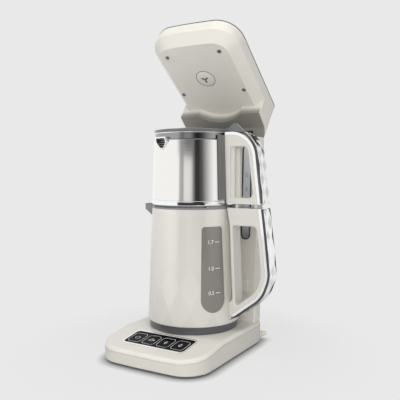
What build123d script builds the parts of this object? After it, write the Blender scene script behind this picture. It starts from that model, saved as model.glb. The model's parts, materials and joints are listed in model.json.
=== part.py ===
"""Automatic tea maker: a base with keys, a column with a hinged head, a kettle, a teapot and its lid.

Z = 0 is the surface that the machine stands on and the kettle's axis is the Z axis.
The keys face -Y, the column is at +Y and both handles point along +X. Lengths are in millimetres.
"""

import os
from math import atan, cos, degrees, radians, sin, sqrt, tan

from build123d import *

os.makedirs("parts", exist_ok=True)

# ---------------------------------------------------------------- fits
fit_gap = 0.3  # between neighbouring covers, and around pieces that lift off or press in
touch_gap = 0.2  # around trim that is pushed into its seat
pin_play = 0.05  # radial play of the hinge pin
screw_play = 0.1  # radial play of a screw shank in its boss

# ---------------------------------------------------------------- base
base_width = 184.8
base_front = 142.7  # from the kettle's axis to the front edge at its corners
base_bow = 3.4  # the front edge swells by this much in the middle
base_rear = 97.7
base_corner = 42.0
base_wall = 2.5
foot_height = 3.0
foot_radius = 9.0
deck_height = 37.5  # top of the flat deck that carries the kettle
deck_break = 66.0  # the deck slopes down in front of this line
deck_slope = 8.07
deck_fold = 60.0  # radius of the soft fold between deck and slope
deck_round = 5.0
seam_drop = 5.8  # the cover's lower edge, below the deck
groove_width = 0.9
groove_depth = 0.7
bottom_round = 2.0
plate_thickness = 2.5
boss_radius = 5.0
boss_x = base_width / 2 - 20.4
boss_places = [(-boss_x, -46), (boss_x, -46), (-boss_x, 44), (boss_x, 44)]
front_foot = (base_width / 2 - 26.4, 34.7 - base_front)
rear_foot = (base_width / 2 - 34.4, base_rear - 25.7)
foot_places = [(side * x, y) for x, y in (front_foot, rear_foot) for side in (-1, 1)] + [(0, 0)]
screw_shank = 1.6
screw_head = 3.4
screw_head_height = 2.2
base_screw_length = 14.0

# ---------------------------------------------------------------- key panel
panel_y = 42.2 - base_front
panel_width = 114.0
panel_depth = 48.0
panel_corner = 9.0
panel_proud = 1.0
panel_sink = 1.2
bezel_width = 3.0
key_count = 4
key_width = 24.4
key_depth = 31.0
key_pitch = 26.3
key_corner = 7.0
key_offset = -2.0  # the row of keys sits this far in front of the panel's middle
key_proud = 0.8
key_sink = 1.4
key_travel = 0.8
key_rim = 2.2  # ledge of the cover that carries the key plate
board_thickness = 1.6

# ---------------------------------------------------------------- power dock
dock_radius = 17.5
dock_flange = 24.0
dock_flange_thickness = 2.5
dock_height = 11.0  # above the deck
dock_socket_radius = 7.0
dock_contact_radius = 12.0
dock_contact_width = 2.0
dock_contact_depth = 3.0

# ---------------------------------------------------------------- column
column_width = base_width - 10.8
column_front_y = 54.0  # at the deck; the whole column leans back from there
column_rear_y = 94.2
column_corner = 25.0
column_edge = 3.0
column_wall = 2.5
column_lean = 14.0  # how far the top stands behind the foot
notch_tuck = 3.0  # the hollow that takes the kettle is this much tighter than the jacket's foot
notch_centre_y = 6.0
split_y = 84.5  # line between front shell and back cover
cap_thickness = 3.0
strip_x = column_width / 2 - 21
strip_width = 18.0
strip_length = 162.0
strip_drop = 12.0  # from the column's top to the strip's upper end
strip_border = 2.2
strip_proud = 0.5
port_height = 98.0
port_width = 17.0
port_tall = 22.0
port_depth = 5.0
post_radius = 4.0
post_x = 12.0
post_low = 42.5  # above the deck
post_high = 50.0  # below the column's top
riser_radius = 4.0
riser_bore = 2.8
riser_x = 35 - column_width / 2
gland_angle = 40.0  # round the rear corner, from +X
gland_height = 10.2
gland_radius = 6.5
gland_taper = 15.0
gland_length = 13.0
gland_shank = 3.5

# ---------------------------------------------------------------- head
# Sizes are given with the head closed; it is built turned back about the hinge by open_angle.
open_angle = 38.0
hinge_y = column_rear_y + column_lean - 0.2
hinge_rise = 7.0  # from the column's top to the hinge's axis
pin_radius = 2.5
barrel_radius = 6.0
barrel_length = 89.0
knuckle_length = 10.0
knuckle_gap = 0.5
head_width = column_width - 13
head_front = 88.0
head_bow = 3.0
head_rear = hinge_y + 14
head_corner = 40.5
head_rear_corner = 20.0
head_wall = 2.5
head_floor = 2.8
plate_rise = 30.6  # from the hinge's axis to the flat underside
band_height = 15.0
band_width = 15.5  # sloped band between the side wall and the flat underside
wall_height = 20.0
trim_height = 1.6
trim_proud = 0.3
cover_height = 8.0
cover_draw = 8.0  # the cover's sides lean in by this much
cover_round = 5.0
neck_front_y = 68.0
neck_notch = 43.0  # half-width of the hollow that goes round the teapot
neck_notch_y = 84.0
neck_front_rise = 15.0  # the neck's underside, from the hinge's axis
neck_bend_y = hinge_y - 8
neck_bend_rise = 9.0
neck_low_y = hinge_y + 4
neck_drop = 3.0
outlet_y = -3.2
outlet_radius = 16.7
outlet_slot = 1.7
outlet_slot_length = 5.5
stub_radius = 6.0
stub_height = 9.0
plate_screw_places = [(-49.6, -57.0), (49.6, -57.0), (-60.0, 28.8), (60.0, 28.8)]
feed_rise = 9.6  # from the outlet's stub to the tube's level run
feed_bend = 9.0

# ---------------------------------------------------------------- kettle
jacket_lift = 12.1  # from the deck to the jacket's lower edge
jacket_height = 182.7
jacket_foot_radius = 76.0
jacket_draw = 7.4  # the jacket narrows by this much on the way up
jacket_wall = 2.0
jacket_round = 1.5
liner_wall = 1.0
liner_foot_gap = 6.5  # from the jacket's outside to the liner's
liner_top_gap = 5.1
liner_drop = 3.3  # the liner's rim, below the jacket's top
ring_inset = 2.8
ring_wall = 2.5
ring_round = 1.5
pan_lift = 9.5
pan_thickness = 2.0
socket_wall = 2.5
heater_radius = 52.0
heater_thickness = 4.0
window_angle = -34.0  # about the axis, from +X
window_foot = 22.1  # from the jacket's lower edge
window_head = 26.3  # from the jacket's top
window_low_width = 41.5
window_high_width = 35.0
window_corner = 5.0
collar_opening = 50.0
collar_flange = 2.7  # above the jacket's top
collar_rise = 5.7
collar_ledge = 6.6
collar_inset = 0.6
lip_start = 12.0  # the raised lip's ends, about the axis, before the handle
lip_end = 42.0
beak_half = 15.5
beak_tip_half = 5.0
beak_side_round = 8.0
beak_tip_round = 4.5
beak_under_round = 30.0
beak_reach = 28.4  # from the jacket's top edge
beak_foot = 19.3  # below the jacket's top
beak_tip_foot = 4.3
beak_crown = 4.2
beak_wall = 2.5

# ---------------------------------------------------------------- handles
handle_width = 28.0
handle_edge = 2.0  # rounding along the near and far faces
handle_bar = 6.7  # thickness in the hand, behind the bright strips
handle_trim = 4.8  # thickness of the bright trim strip
handle_overrun = 5.5  # the outlines run this far past their cut ends
band_inset = 1.0  # the cut band is this much narrower at each side
kettle_band_thickness = 3.7
kettle_handle_rise = 2.2  # the handle's flat top, above the jacket
top_reach = 54.3  # the outer line, out from the jacket's top edge
waist_reach = 60.7
waist_drop = 42.3
waist_round = 230.0
bend_reach = 59.8  # and out from the jacket's foot, up from its lower edge
bend_rise = 80.0
bend_round = 44.0
heel_reach = 49.3
heel_rise = 50.7
root_rise = 1.5
kettle_grip_drop = 25.8
grip_round = 8.0  # the finger openings' corners, away from and beside the spine
spine_round = 3.0
spine_gap = 10.0  # from the jacket to the finger opening
spine_wall = 3.0
spine_foot = 33.0  # from the jacket's lower edge to the hollows beside the rib
spine_rib = 10.0  # width of the rib that ties the spine to the jacket
handle_stand = 3.0  # from the jacket to the handle's top block, beside the rib

# ---------------------------------------------------------------- teapot
pot_ring_height = 8.0
pot_ring_proud = 0.2  # beyond the jacket's top edge
pot_ring_wall = 4.0
pot_height = 95.0
pot_inset = 0.4
pot_draw = 2.8
pot_wall = 1.2
neck_inset = 1.8
neck_height = 11.0
rim_proud = 2.0
rim_thickness = 1.6
spout_angle = -107.5  # about the axis, from +X
spout_half = 13.0
spout_foot = 14.5  # below the pot's shoulder
spout_crown = 5.0
spout_proud = 5.0
slat_count = 5
slat_height = 1.6
basket_radius = 46.0
basket_lift = 22.0
basket_wall = 1.0
mount_half_angle = 24.5
mount_thickness = 1.6
teapot_handle_gap = 6.5  # from the kettle handle's flat top to the teapot's
teapot_handle_rise = 7.9  # the outer line, above the pot's shoulder
teapot_top_reach = 44.4  # and out from the shoulder
teapot_heel_reach = 54.5  # and out from the pot's foot
teapot_handle_round = 36.7
teapot_band_thickness = 4.9
teapot_band_start = 32.4  # from the pot's shoulder
teapot_grip_drop = 11.0
teapot_grip_lift = 4.5
rib_reach = 18.6  # from the pot's foot to the face of the rib in the finger opening
rib_steps = [(3.5, 5.4), (10.7, 12.1)]  # half width and depth of the steps down from that face
lug_width = 6.0
lug_reaches = [16.4, 49.4]  # from the jacket's top edge

# ---------------------------------------------------------------- lid
lid_inset = 0.8
lid_edge_height = 4.4
lid_dome = 4.0
lid_wall = 2.0
plug_gap = 2.6
plug_depth = 5.0
lid_hole = 14.0
tab_width = 7.0
tab_crest = 11.0  # from the lid's rim to the tab's highest point
tab_rise = 9.7
tab_reach = 31.0
tab_drop = 5.8

# ---------------------------------------------------------------- stacked levels and radii
jacket_bottom = deck_height + jacket_lift
jacket_top = jacket_bottom + jacket_height
jacket_top_radius = jacket_foot_radius - jacket_draw
notch_radius = jacket_foot_radius - notch_tuck
pan_z = deck_height + pan_lift
liner_bottom = deck_height + dock_height + 4.5 + heater_thickness
liner_top = jacket_top - liner_drop
liner_foot_radius = jacket_foot_radius - liner_foot_gap
liner_top_radius = jacket_top_radius - liner_top_gap
ring_foot_radius = jacket_foot_radius - ring_inset
window_low = jacket_bottom + window_foot
window_high = jacket_top - window_head
collar_flange_z = jacket_top + collar_flange
collar_top = jacket_top + collar_rise
collar_radius = jacket_top_radius - collar_inset
collar_step = jacket_top_radius - collar_ledge
collar_seat = jacket_top_radius - jacket_wall - fit_gap
beak_root = jacket_top_radius - jacket_wall
beak_tip = jacket_top_radius + beak_reach
beak_low = jacket_top - beak_foot
beak_tip_low = jacket_top - beak_tip_foot
beak_top = jacket_top + beak_crown
kettle_handle_top = jacket_top + kettle_handle_rise
pot_ring_low = collar_top
pot_ring_radius = jacket_top_radius + pot_ring_proud
pot_low = pot_ring_low + pot_ring_height
pot_high = pot_low + pot_height
pot_low_radius = pot_ring_radius - pot_inset
pot_high_radius = pot_low_radius - pot_draw
neck_radius = pot_high_radius - neck_inset
neck_inner = neck_radius - pot_wall
neck_top = pot_high + neck_height
rim_radius = neck_radius + rim_proud
spout_low = pot_high - spout_foot
spout_high = pot_high + spout_crown
basket_low = pot_low + basket_lift
teapot_handle_low = kettle_handle_top + teapot_handle_gap
lid_radius = rim_radius - lid_inset
lid_low = neck_top + rim_thickness + fit_gap
plug_radius = neck_inner - plug_gap
column_top = pot_high + 9
strip_high = column_top - strip_drop
strip_low = strip_high - strip_length
post_heights = [deck_height + post_low, column_top - post_high]
hinge_z = column_top + hinge_rise
neck_front_z = hinge_z + neck_front_rise
neck_bend_z = hinge_z + neck_bend_rise
neck_low_z = hinge_z - neck_drop
plate_z = hinge_z + plate_rise
rim_z = plate_z + band_height
wall_top = rim_z + wall_height


# ---------------------------------------------------------------- shared outlines
def bowed_outline(plane, width, front, bow, rear, front_corner, rear_corner, inset):
    """A rounded rectangle whose front edge swells outwards in the middle."""
    half = width / 2 - inset
    low = -front + inset
    high = rear - inset
    with BuildSketch(plane) as outline:
        with BuildLine():
            ThreePointArc((-half, low), (0, low - bow), (half, low))
            Polyline((half, low), (half, high), (-half, high), (-half, low))
        make_face()
        fillet(outline.vertices().group_by(Axis.Y)[0], radius=front_corner - inset)
        fillet(outline.vertices().group_by(Axis.Y)[-1], radius=rear_corner - inset)
    return outline.sketch


def rounded_loop(plane, points, radii):
    """A face with straight edges and its own radius at each corner."""
    with BuildSketch(plane) as outline:
        with BuildLine():
            FilletPolyline(*points, radius=radii, close=True)
        make_face()
    return outline.sketch


def turned_profile(points):
    """A half section, radius and height, for turning about the Z axis."""
    with BuildSketch(Plane.XZ) as profile:
        with BuildLine():
            Polyline(*points, close=True)
        make_face()
    return profile.sketch


def base_outline(height, inset):
    level = Plane.XY.offset(height)
    return bowed_outline(level, base_width, base_front, base_bow, base_rear, base_corner, base_corner, inset)


def deck_side(drop, far_height):
    """Side view of everything between the deck line, lowered by drop, and a far height."""
    reach = base_front + base_rear
    front_z = deck_height - drop - (reach - deck_break) * tan(radians(deck_slope))
    corners = [
        (-reach, front_z),
        (-deck_break, deck_height - drop),
        (reach, deck_height - drop),
        (reach, far_height),
        (-reach, far_height),
    ]
    return rounded_loop(Plane.YZ.offset(-base_width), corners, [0, deck_fold, 0, 0, 0])


def above_deck(drop):
    return deck_side(drop, 3 * deck_height)


def below_deck(drop):
    return deck_side(drop, -3 * deck_height)


lean_slope = column_lean / (column_top - deck_height)
lean_angle = degrees(atan(lean_slope))
lean_direction = (0, sin(radians(lean_angle)), cos(radians(lean_angle)))
floor_z = foot_height + plate_thickness
pump_y = base_rear - 22
pump_top = floor_z + 22


def riser_y(height):
    """The riser leans back with the column."""
    return pump_y + lean_slope * (height - pump_top)


column_front_plane = Plane(
    origin=(0, column_front_y, deck_height),
    x_dir=(1, 0, 0),
    z_dir=(0, -cos(radians(lean_angle)), sin(radians(lean_angle))),
)


def column_level(height):
    """The column's own horizontal plane at a height, moved back with its lean."""
    return Plane(origin=(0, lean_slope * (height - deck_height), height))


def column_outline(plane, inset):
    """Plan of the column: a block with a hollow in front for the kettle."""
    half = column_width / 2 - inset
    front = column_front_y + inset
    rear = column_rear_y - inset
    hollow = notch_radius + inset
    notch_half = sqrt(hollow**2 - (front - notch_centre_y) ** 2)
    with BuildSketch(plane) as outline:
        with BuildLine():
            ThreePointArc((-notch_half, front), (0, notch_centre_y + hollow), (notch_half, front))
            Polyline((notch_half, front), (half, front), (half, rear), (-half, rear), (-half, front), (-notch_half, front))
        make_face()
        fillet(outline.vertices().group_by(Axis.Y)[-1], radius=column_corner - inset)
        outer = outline.vertices().filter_by(lambda v: abs(abs(v.X) - half) < 0.01).group_by(Axis.Y)[0]
        fillet(outer, radius=column_edge - inset / 2)
    return outline.sketch


def column_ring(height, near, far):
    """The part of the column's wall between two lines across it."""
    middle = (near + far) / 2
    with BuildSketch(column_level(height)) as ring:
        add(column_outline(Plane.XY, 0))
        add(column_outline(Plane.XY, column_wall), mode=Mode.SUBTRACT)
        with Locations((0, middle)):
            Rectangle(2 * column_width, far - near, mode=Mode.INTERSECT)
    return ring.sketch


head_cos = cos(radians(open_angle))
head_sin = sin(radians(open_angle))
head_up = Vector(0, head_sin, head_cos)
head_back = Vector(0, head_cos, -head_sin)
head_origin = Vector(0, hinge_y, hinge_z) - head_back * hinge_y - head_up * hinge_z
head_plane = Plane(origin=head_origin, x_dir=(1, 0, 0), z_dir=head_up)
head_side = Plane(origin=head_origin, x_dir=head_back, z_dir=(1, 0, 0))


def head_outline(height, inset):
    level = head_plane.offset(height)
    return bowed_outline(
        level, head_width, head_front, head_bow, head_rear, head_corner, head_rear_corner, inset
    )


def plate_outline(height):
    """The flat underside: the head's outline, drawn in by the sloped band."""
    return head_outline(height, band_width)


def neck_outline(height, inset):
    """Plan of the neck, hollow in front where it goes round the teapot."""
    half = head_width / 2 - inset
    front = neck_front_y + inset
    rear = head_rear - inset
    with BuildSketch(head_plane.offset(height)) as outline:
        with BuildLine():
            ThreePointArc((-neck_notch, front), (0, neck_notch_y + inset), (neck_notch, front))
            Polyline((neck_notch, front), (half, front), (half, rear), (-half, rear), (-half, front), (-neck_notch, front))
        make_face()
        fillet(outline.vertices().group_by(Axis.Y)[-1], radius=head_rear_corner - inset)
    return outline.sketch


def below_neck(lift):
    """Side view of everything under the neck's sloping underside, raised by lift."""
    corners = [
        (neck_front_y - 20, neck_front_z + lift),
        (neck_bend_y, neck_bend_z + lift),
        (neck_low_y, neck_low_z + lift),
        (head_rear + 20, neck_low_z + lift),
        (head_rear + 20, 0),
        (neck_front_y - 20, 0),
    ]
    return rounded_loop(head_side.offset(-head_width), corners, [0, 6, 6, 0, 0, 0])


def jacket_radius(height):
    """Outer radius of the kettle's jacket."""
    share = (height - jacket_bottom) / (jacket_top - jacket_bottom)
    return jacket_foot_radius + share * (jacket_top_radius - jacket_foot_radius)


def liner_radius(height):
    """Outer radius of the steel vessel inside the jacket."""
    share = (height - liner_bottom) / (liner_top - liner_bottom)
    return liner_foot_radius + share * (liner_top_radius - liner_foot_radius)


def pot_radius(height):
    """Outer radius of the teapot."""
    share = (height - pot_low) / (pot_high - pot_low)
    return pot_low_radius + share * (pot_high_radius - pot_low_radius)


def cone_band(radius_at, low, high, outer, inner):
    """Half section of a conical skin between two depths below its surface."""
    return turned_profile(
        [
            (radius_at(low) - outer, low),
            (radius_at(high) - outer, high),
            (radius_at(high) - inner, high),
            (radius_at(low) - inner, low),
        ]
    )


def cone_core(radius_at, low, high, gap):
    """Half section of the full cone inside a skin, grown by a gap."""
    return turned_profile([(0, low), (radius_at(low) + gap, low), (radius_at(high) + gap, high), (0, high)])


def facing_plane(angle):
    """An upright plane through the axis that faces outwards at an angle from +X."""
    turn = radians(angle)
    return Plane(origin=(0, 0, 0), x_dir=(-sin(turn), cos(turn), 0), z_dir=(cos(turn), sin(turn), 0))


# ---------------------------------------------------------------- base
with BuildPart() as deck_core:  # the hollow under the cover
    extrude(base_outline(-foot_height, base_wall), amount=3 * deck_height)
    extrude(above_deck(base_wall), amount=2 * base_width, mode=Mode.SUBTRACT)

gland_turn = radians(gland_angle)
gland_plane = Plane(
    origin=(base_width / 2 - base_corner, base_rear - base_corner, gland_height),
    x_dir=(-sin(gland_turn), cos(gland_turn), 0),
    z_dir=(cos(gland_turn), sin(gland_turn), 0),
)
with BuildPart() as base_skirt:
    extrude(base_outline(foot_height, 0), amount=deck_height)
    extrude(above_deck(seam_drop + groove_width), amount=2 * base_width, mode=Mode.SUBTRACT)
    fillet(base_skirt.faces().sort_by(Axis.Z)[0].edges(), radius=bottom_round)
    extrude(base_outline(foot_height + bottom_round, groove_depth), amount=deck_height)
    extrude(above_deck(seam_drop), amount=2 * base_width, mode=Mode.SUBTRACT)
    add(deck_core.part, mode=Mode.SUBTRACT)
    with BuildSketch(gland_plane):
        Circle(gland_shank + screw_play)
    extrude(amount=base_corner + gland_length, mode=Mode.SUBTRACT)
base_skirt.part.label = "base_skirt"
export_step(base_skirt.part, "parts/base_skirt.step")

slope_y = -panel_y - deck_break
panel_plane = Plane(
    origin=(0, panel_y, deck_height - slope_y * tan(radians(deck_slope))),
    x_dir=(1, 0, 0),
    z_dir=(0, -sin(radians(deck_slope)), cos(radians(deck_slope))),
)
key_row = [(key_pitch * (n - (key_count - 1) / 2), key_offset) for n in range(key_count)]


def panel_outline(depth, inset):
    """The key panel's outline on the sloping deck, at a depth below it."""
    with BuildSketch(panel_plane.offset(-depth)) as outline:
        RectangleRounded(panel_width - 2 * inset, panel_depth - 2 * inset, panel_corner - inset)
    return outline.sketch


def key_outline(depth, places, gap):
    with BuildSketch(panel_plane.offset(-depth)) as outline:
        with Locations(*places):
            RectangleRounded(key_width + 2 * gap, key_depth + 2 * gap, key_corner + gap)
    return outline.sketch


with BuildPart() as base_cover:
    extrude(base_outline(foot_height, 0), amount=2 * deck_height)
    extrude(above_deck(0), amount=2 * base_width, mode=Mode.SUBTRACT)
    extrude(below_deck(seam_drop), amount=2 * base_width, mode=Mode.SUBTRACT)
    deck_faces = base_cover.faces().filter_by(lambda f: f.normal_at().Z > 0.9)
    deck_edges = base_cover.edges().filter_by(
        lambda e: sum(any(e.is_same(other) for other in f.edges()) for f in deck_faces) == 1
    )
    fillet(deck_edges, radius=deck_round)
    add(deck_core.part, mode=Mode.SUBTRACT)
    with BuildSketch(Plane.XY.offset(foot_height + plate_thickness)):
        with Locations(*boss_places):
            Circle(boss_radius)
    extrude(amount=deck_height - base_wall / 2 - foot_height - plate_thickness)
    with BuildSketch(Plane.XY.offset(foot_height + plate_thickness)):
        with Locations(*boss_places):
            Circle(screw_shank + screw_play)
    extrude(amount=base_screw_length, mode=Mode.SUBTRACT)
    with BuildSketch(Plane.XY):
        Circle(dock_radius + fit_gap)
    extrude(amount=2 * deck_height, mode=Mode.SUBTRACT)
    with BuildSketch(Plane.XY):
        with Locations((riser_x, riser_y(deck_height))):
            Circle(riser_radius + fit_gap)
    extrude(amount=2 * deck_height, mode=Mode.SUBTRACT)
    extrude(panel_outline(panel_sink, -touch_gap), amount=3 * panel_sink, mode=Mode.SUBTRACT)
    extrude(panel_outline(4 * base_wall, bezel_width + key_rim), amount=6 * base_wall, mode=Mode.SUBTRACT)
base_cover.part.label = "base_cover"
export_step(base_cover.part, "parts/base_cover.step")

with BuildPart() as base_plate:
    extrude(base_outline(foot_height, base_wall + fit_gap), amount=plate_thickness)
    with BuildSketch(Plane.XY):
        with Locations(*boss_places):
            Circle(screw_shank + screw_play)
    extrude(amount=deck_height, mode=Mode.SUBTRACT)
base_plate.part.label = "base_plate"
export_step(base_plate.part, "parts/base_plate.step")

with BuildPart() as rubber_feet:
    with BuildSketch(Plane.XY):
        with Locations(*foot_places):
            Circle(foot_radius)
    extrude(amount=foot_height, taper=-6)
rubber_feet.part.label = "rubber_feet"
export_step(rubber_feet.part, "parts/rubber_feet.step")

with BuildPart() as base_screws:
    with BuildSketch(Plane.XY.offset(foot_height - screw_head_height)):
        with Locations(*boss_places):
            Circle(screw_head)
    extrude(amount=screw_head_height)
    with BuildSketch(Plane.XY.offset(foot_height)):
        with Locations(*boss_places):
            Circle(screw_shank)
    extrude(amount=base_screw_length)
    with BuildSketch(Plane.XY.offset(foot_height - screw_head_height)):
        with Locations(*boss_places):
            Rectangle(screw_head, 0.8)
            Rectangle(0.8, screw_head)
    extrude(amount=screw_head_height / 2, mode=Mode.SUBTRACT)
base_screws.part.label = "base_screws"
export_step(base_screws.part, "parts/base_screws.step")

with BuildPart() as power_dock:
    flange_top = deck_height - base_wall
    with BuildSketch(Plane.XY.offset(flange_top - dock_flange_thickness)):
        Circle(dock_flange)
    extrude(amount=dock_flange_thickness)
    with BuildSketch(Plane.XY.offset(flange_top)):
        Circle(dock_radius)
    extrude(amount=base_wall + dock_height)
    fillet(power_dock.faces().sort_by(Axis.Z)[-1].edges(), radius=1.5)
    with BuildSketch(Plane.XY.offset(deck_height + dock_height)):
        Circle(dock_socket_radius)
        Circle(dock_contact_radius + dock_contact_width / 2 + touch_gap)
        Circle(dock_contact_radius - dock_contact_width / 2 - touch_gap, mode=Mode.SUBTRACT)
        Circle(dock_socket_radius)
    extrude(amount=-dock_contact_depth, mode=Mode.SUBTRACT)
power_dock.part.label = "power_dock"
export_step(power_dock.part, "parts/power_dock.step")

with BuildPart() as dock_contacts:
    with BuildSketch(Plane.XY.offset(deck_height + dock_height - dock_contact_depth)):
        Circle(dock_contact_radius + dock_contact_width / 2)
        Circle(dock_contact_radius - dock_contact_width / 2, mode=Mode.SUBTRACT)
        Circle(dock_contact_width)
    extrude(amount=dock_contact_depth - 1)
dock_contacts.part.label = "dock_contacts"
export_step(dock_contacts.part, "parts/dock_contacts.step")

with BuildPart() as panel_bezel:
    extrude(panel_outline(panel_sink, 0), amount=panel_sink + panel_proud)
    fillet(panel_bezel.faces().sort_by(Axis.Z)[-1].edges(), radius=panel_proud * 0.8)
    extrude(panel_outline(2 * panel_sink, bezel_width), amount=6 * panel_sink, mode=Mode.SUBTRACT)
panel_bezel.part.label = "panel_bezel"
export_step(panel_bezel.part, "parts/panel_bezel.step")

with BuildPart() as key_plate:
    extrude(panel_outline(panel_sink, bezel_width + touch_gap), amount=panel_sink + panel_proud / 2)
    extrude(key_outline(2 * panel_sink, key_row, fit_gap), amount=6 * panel_sink, mode=Mode.SUBTRACT)
key_plate.part.label = "key_plate"
export_step(key_plate.part, "parts/key_plate.step")

for number, place in enumerate(key_row, start=1):
    with BuildPart() as touch_key:
        extrude(key_outline(key_sink, [place], 0), amount=key_sink + key_proud)
        top_face = touch_key.faces().filter_by(lambda f: f.normal_at().Z > 0.9).sort_by(Axis.Z)[-1]
        fillet(top_face.edges(), radius=0.5)
    touch_key.part.label = f"touch_key_{number}"
    export_step(touch_key.part, f"parts/touch_key_{number}.step")

key_board_depth = base_wall + fit_gap
with BuildPart() as key_board:
    with BuildSketch(panel_plane.offset(-key_board_depth)):
        Rectangle(panel_width - 2 * bezel_width, panel_depth - 2 * bezel_width)
    extrude(amount=-board_thickness)
key_board.part.label = "key_board"
export_step(key_board.part, "parts/key_board.step")

with BuildPart() as power_board:
    with BuildSketch(Plane.XY.offset(floor_z)):
        with Locations((30, -30), (30, 10), (-6, -30), (-6, 10)):
            Circle(2.5)
    extrude(amount=4)
    with BuildSketch(Plane.XY.offset(floor_z + 4)):
        with Locations((12, -10)):
            Rectangle(52, 56)
    extrude(amount=board_thickness)
    with BuildSketch(Plane.XY.offset(floor_z + 4 + board_thickness)):
        with Locations((24, -22)):
            Rectangle(22, 18)
        with Locations((2, -22)):
            Circle(6)
        with Locations((0, 6), (22, 6)):
            Rectangle(14, 12)
    extrude(amount=13)
power_board.part.label = "power_board"
export_step(power_board.part, "parts/power_board.step")

with BuildPart() as water_pump:
    with BuildSketch(Plane.XY.offset(floor_z)):
        with Locations((riser_x, pump_y)):
            RectangleRounded(36, 26, 4)
    extrude(amount=22)
    with BuildSketch(Plane.XZ.offset(-pump_y + 13)):
        with Locations((riser_x, floor_z + 11)):
            Circle(9)
    extrude(amount=24)
    with BuildSketch(Plane.XY.offset(pump_top)):
        with Locations((riser_x, pump_y)):
            Circle(riser_radius + 2)
            Circle(riser_bore, mode=Mode.SUBTRACT)
    extrude(amount=4)
water_pump.part.label = "water_pump"
export_step(water_pump.part, "parts/water_pump.step")

# ---------------------------------------------------------------- column
front_height = (column_top - cap_thickness - deck_height) / lean_direction[2]
strip_middle = (strip_low + strip_high) / 2 - deck_height


def strip_outline(depth, inset):
    with BuildSketch(column_front_plane.offset(-depth)) as outline:
        with Locations((strip_x, strip_middle)):
            SlotOverall(strip_length - 2 * inset, strip_width - 2 * inset, rotation=90)
    return outline.sketch


with BuildPart() as column_front:
    extrude(column_ring(deck_height, 0, split_y), amount=front_height, dir=lean_direction)
    for height in post_heights:
        post_y = notch_centre_y + notch_radius + column_wall / 2 + lean_slope * (height - deck_height)
        with BuildSketch(Plane.XZ.offset(-post_y)):
            with Locations((-post_x, height), (post_x, height)):
                Circle(post_radius)
        extrude(amount=-(column_rear_y - column_wall - fit_gap - post_y + lean_slope * (height - deck_height)) + 1)
        with BuildSketch(Plane.XZ.offset(-post_y - column_wall)):
            with Locations((-post_x, height), (post_x, height)):
                Circle(screw_shank + screw_play)
        extrude(amount=-30, mode=Mode.SUBTRACT)
    extrude(strip_outline(2 * column_wall, -touch_gap), amount=4 * column_wall, mode=Mode.SUBTRACT)
column_front.part.label = "column_front"
export_step(column_front.part, "parts/column_front.step")

with BuildPart() as column_back:
    extrude(column_ring(deck_height, split_y + fit_gap, 2 * column_rear_y), amount=front_height, dir=lean_direction)
    for height in post_heights:
        with BuildSketch(Plane.XZ.offset(-split_y)):
            with Locations((-post_x, height), (post_x, height)):
                Circle(screw_shank + screw_play)
        extrude(amount=-60, mode=Mode.SUBTRACT)
column_back.part.label = "column_back"
export_step(column_back.part, "parts/column_back.step")

with BuildPart() as column_screws:
    for height in post_heights:
        rear_face = column_rear_y + lean_slope * (height - deck_height)
        with BuildSketch(Plane.XZ.offset(-rear_face - 0.2)):
            with Locations((-post_x, height), (post_x, height)):
                Circle(screw_head)
        extrude(amount=-screw_head_height)
        with BuildSketch(Plane.XZ.offset(-rear_face - 0.2)):
            with Locations((-post_x, height), (post_x, height)):
                Circle(screw_shank)
        extrude(amount=8)
column_screws.part.label = "column_screws"
export_step(column_screws.part, "parts/column_screws.step")

with BuildPart() as column_cap:
    extrude(column_outline(column_level(column_top - cap_thickness), 0), amount=cap_thickness)
    fillet(column_cap.faces().sort_by(Axis.Z)[-1].edges(), radius=1.2)
    with BuildSketch(Plane.XY.offset(column_top - 2 * cap_thickness)):
        with Locations((riser_x, riser_y(column_top))):
            Circle(riser_radius + fit_gap)
    extrude(amount=4 * cap_thickness, mode=Mode.SUBTRACT)
column_cap.part.label = "column_cap"
export_step(column_cap.part, "parts/column_cap.step")

with BuildPart() as strip_border_ring:
    extrude(strip_outline(column_wall, 0), amount=column_wall + strip_proud)
    extrude(strip_outline(2 * column_wall, strip_border), amount=4 * column_wall, mode=Mode.SUBTRACT)
strip_border_ring.part.label = "strip_border"
export_step(strip_border_ring.part, "parts/strip_border.step")

with BuildPart() as strip_lens:
    extrude(strip_outline(column_wall, strip_border + touch_gap), amount=column_wall - touch_gap)
strip_lens.part.label = "strip_lens"
export_step(strip_lens.part, "parts/strip_lens.step")

with BuildPart() as water_port:
    with BuildSketch(column_front_plane):
        with Locations((strip_x + 1, port_height - deck_height)):
            RectangleRounded(port_width, port_tall, 3)
    extrude(amount=port_depth)
    fillet(water_port.faces().sort_by(Axis.Y)[0].edges(), radius=1.5)
water_port.part.label = "water_port"
export_step(water_port.part, "parts/water_port.step")

riser_run = (column_top + 2 - pump_top - 4) / lean_direction[2]
with BuildPart() as riser_tube:
    with BuildSketch(Plane.XY.offset(pump_top + 4)):
        with Locations((riser_x, riser_y(pump_top + 4))):
            Circle(riser_radius)
            Circle(riser_bore, mode=Mode.SUBTRACT)
    extrude(amount=riser_run, dir=lean_direction)
riser_tube.part.label = "riser_tube"
export_step(riser_tube.part, "parts/riser_tube.step")

with BuildPart() as cord_gland:
    with BuildSketch(gland_plane.offset(base_corner - 1)):
        Circle(gland_radius)
    extrude(amount=gland_length + 1, taper=gland_taper)
    extrude(base_outline(0, -touch_gap / 2), amount=deck_height, mode=Mode.SUBTRACT)
    with BuildSketch(gland_plane.offset(base_corner - 2 * base_wall)):
        Circle(gland_shank)
    extrude(amount=3 * base_wall)
cord_gland.part.label = "cord_gland"
export_step(cord_gland.part, "parts/cord_gland.step")

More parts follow.
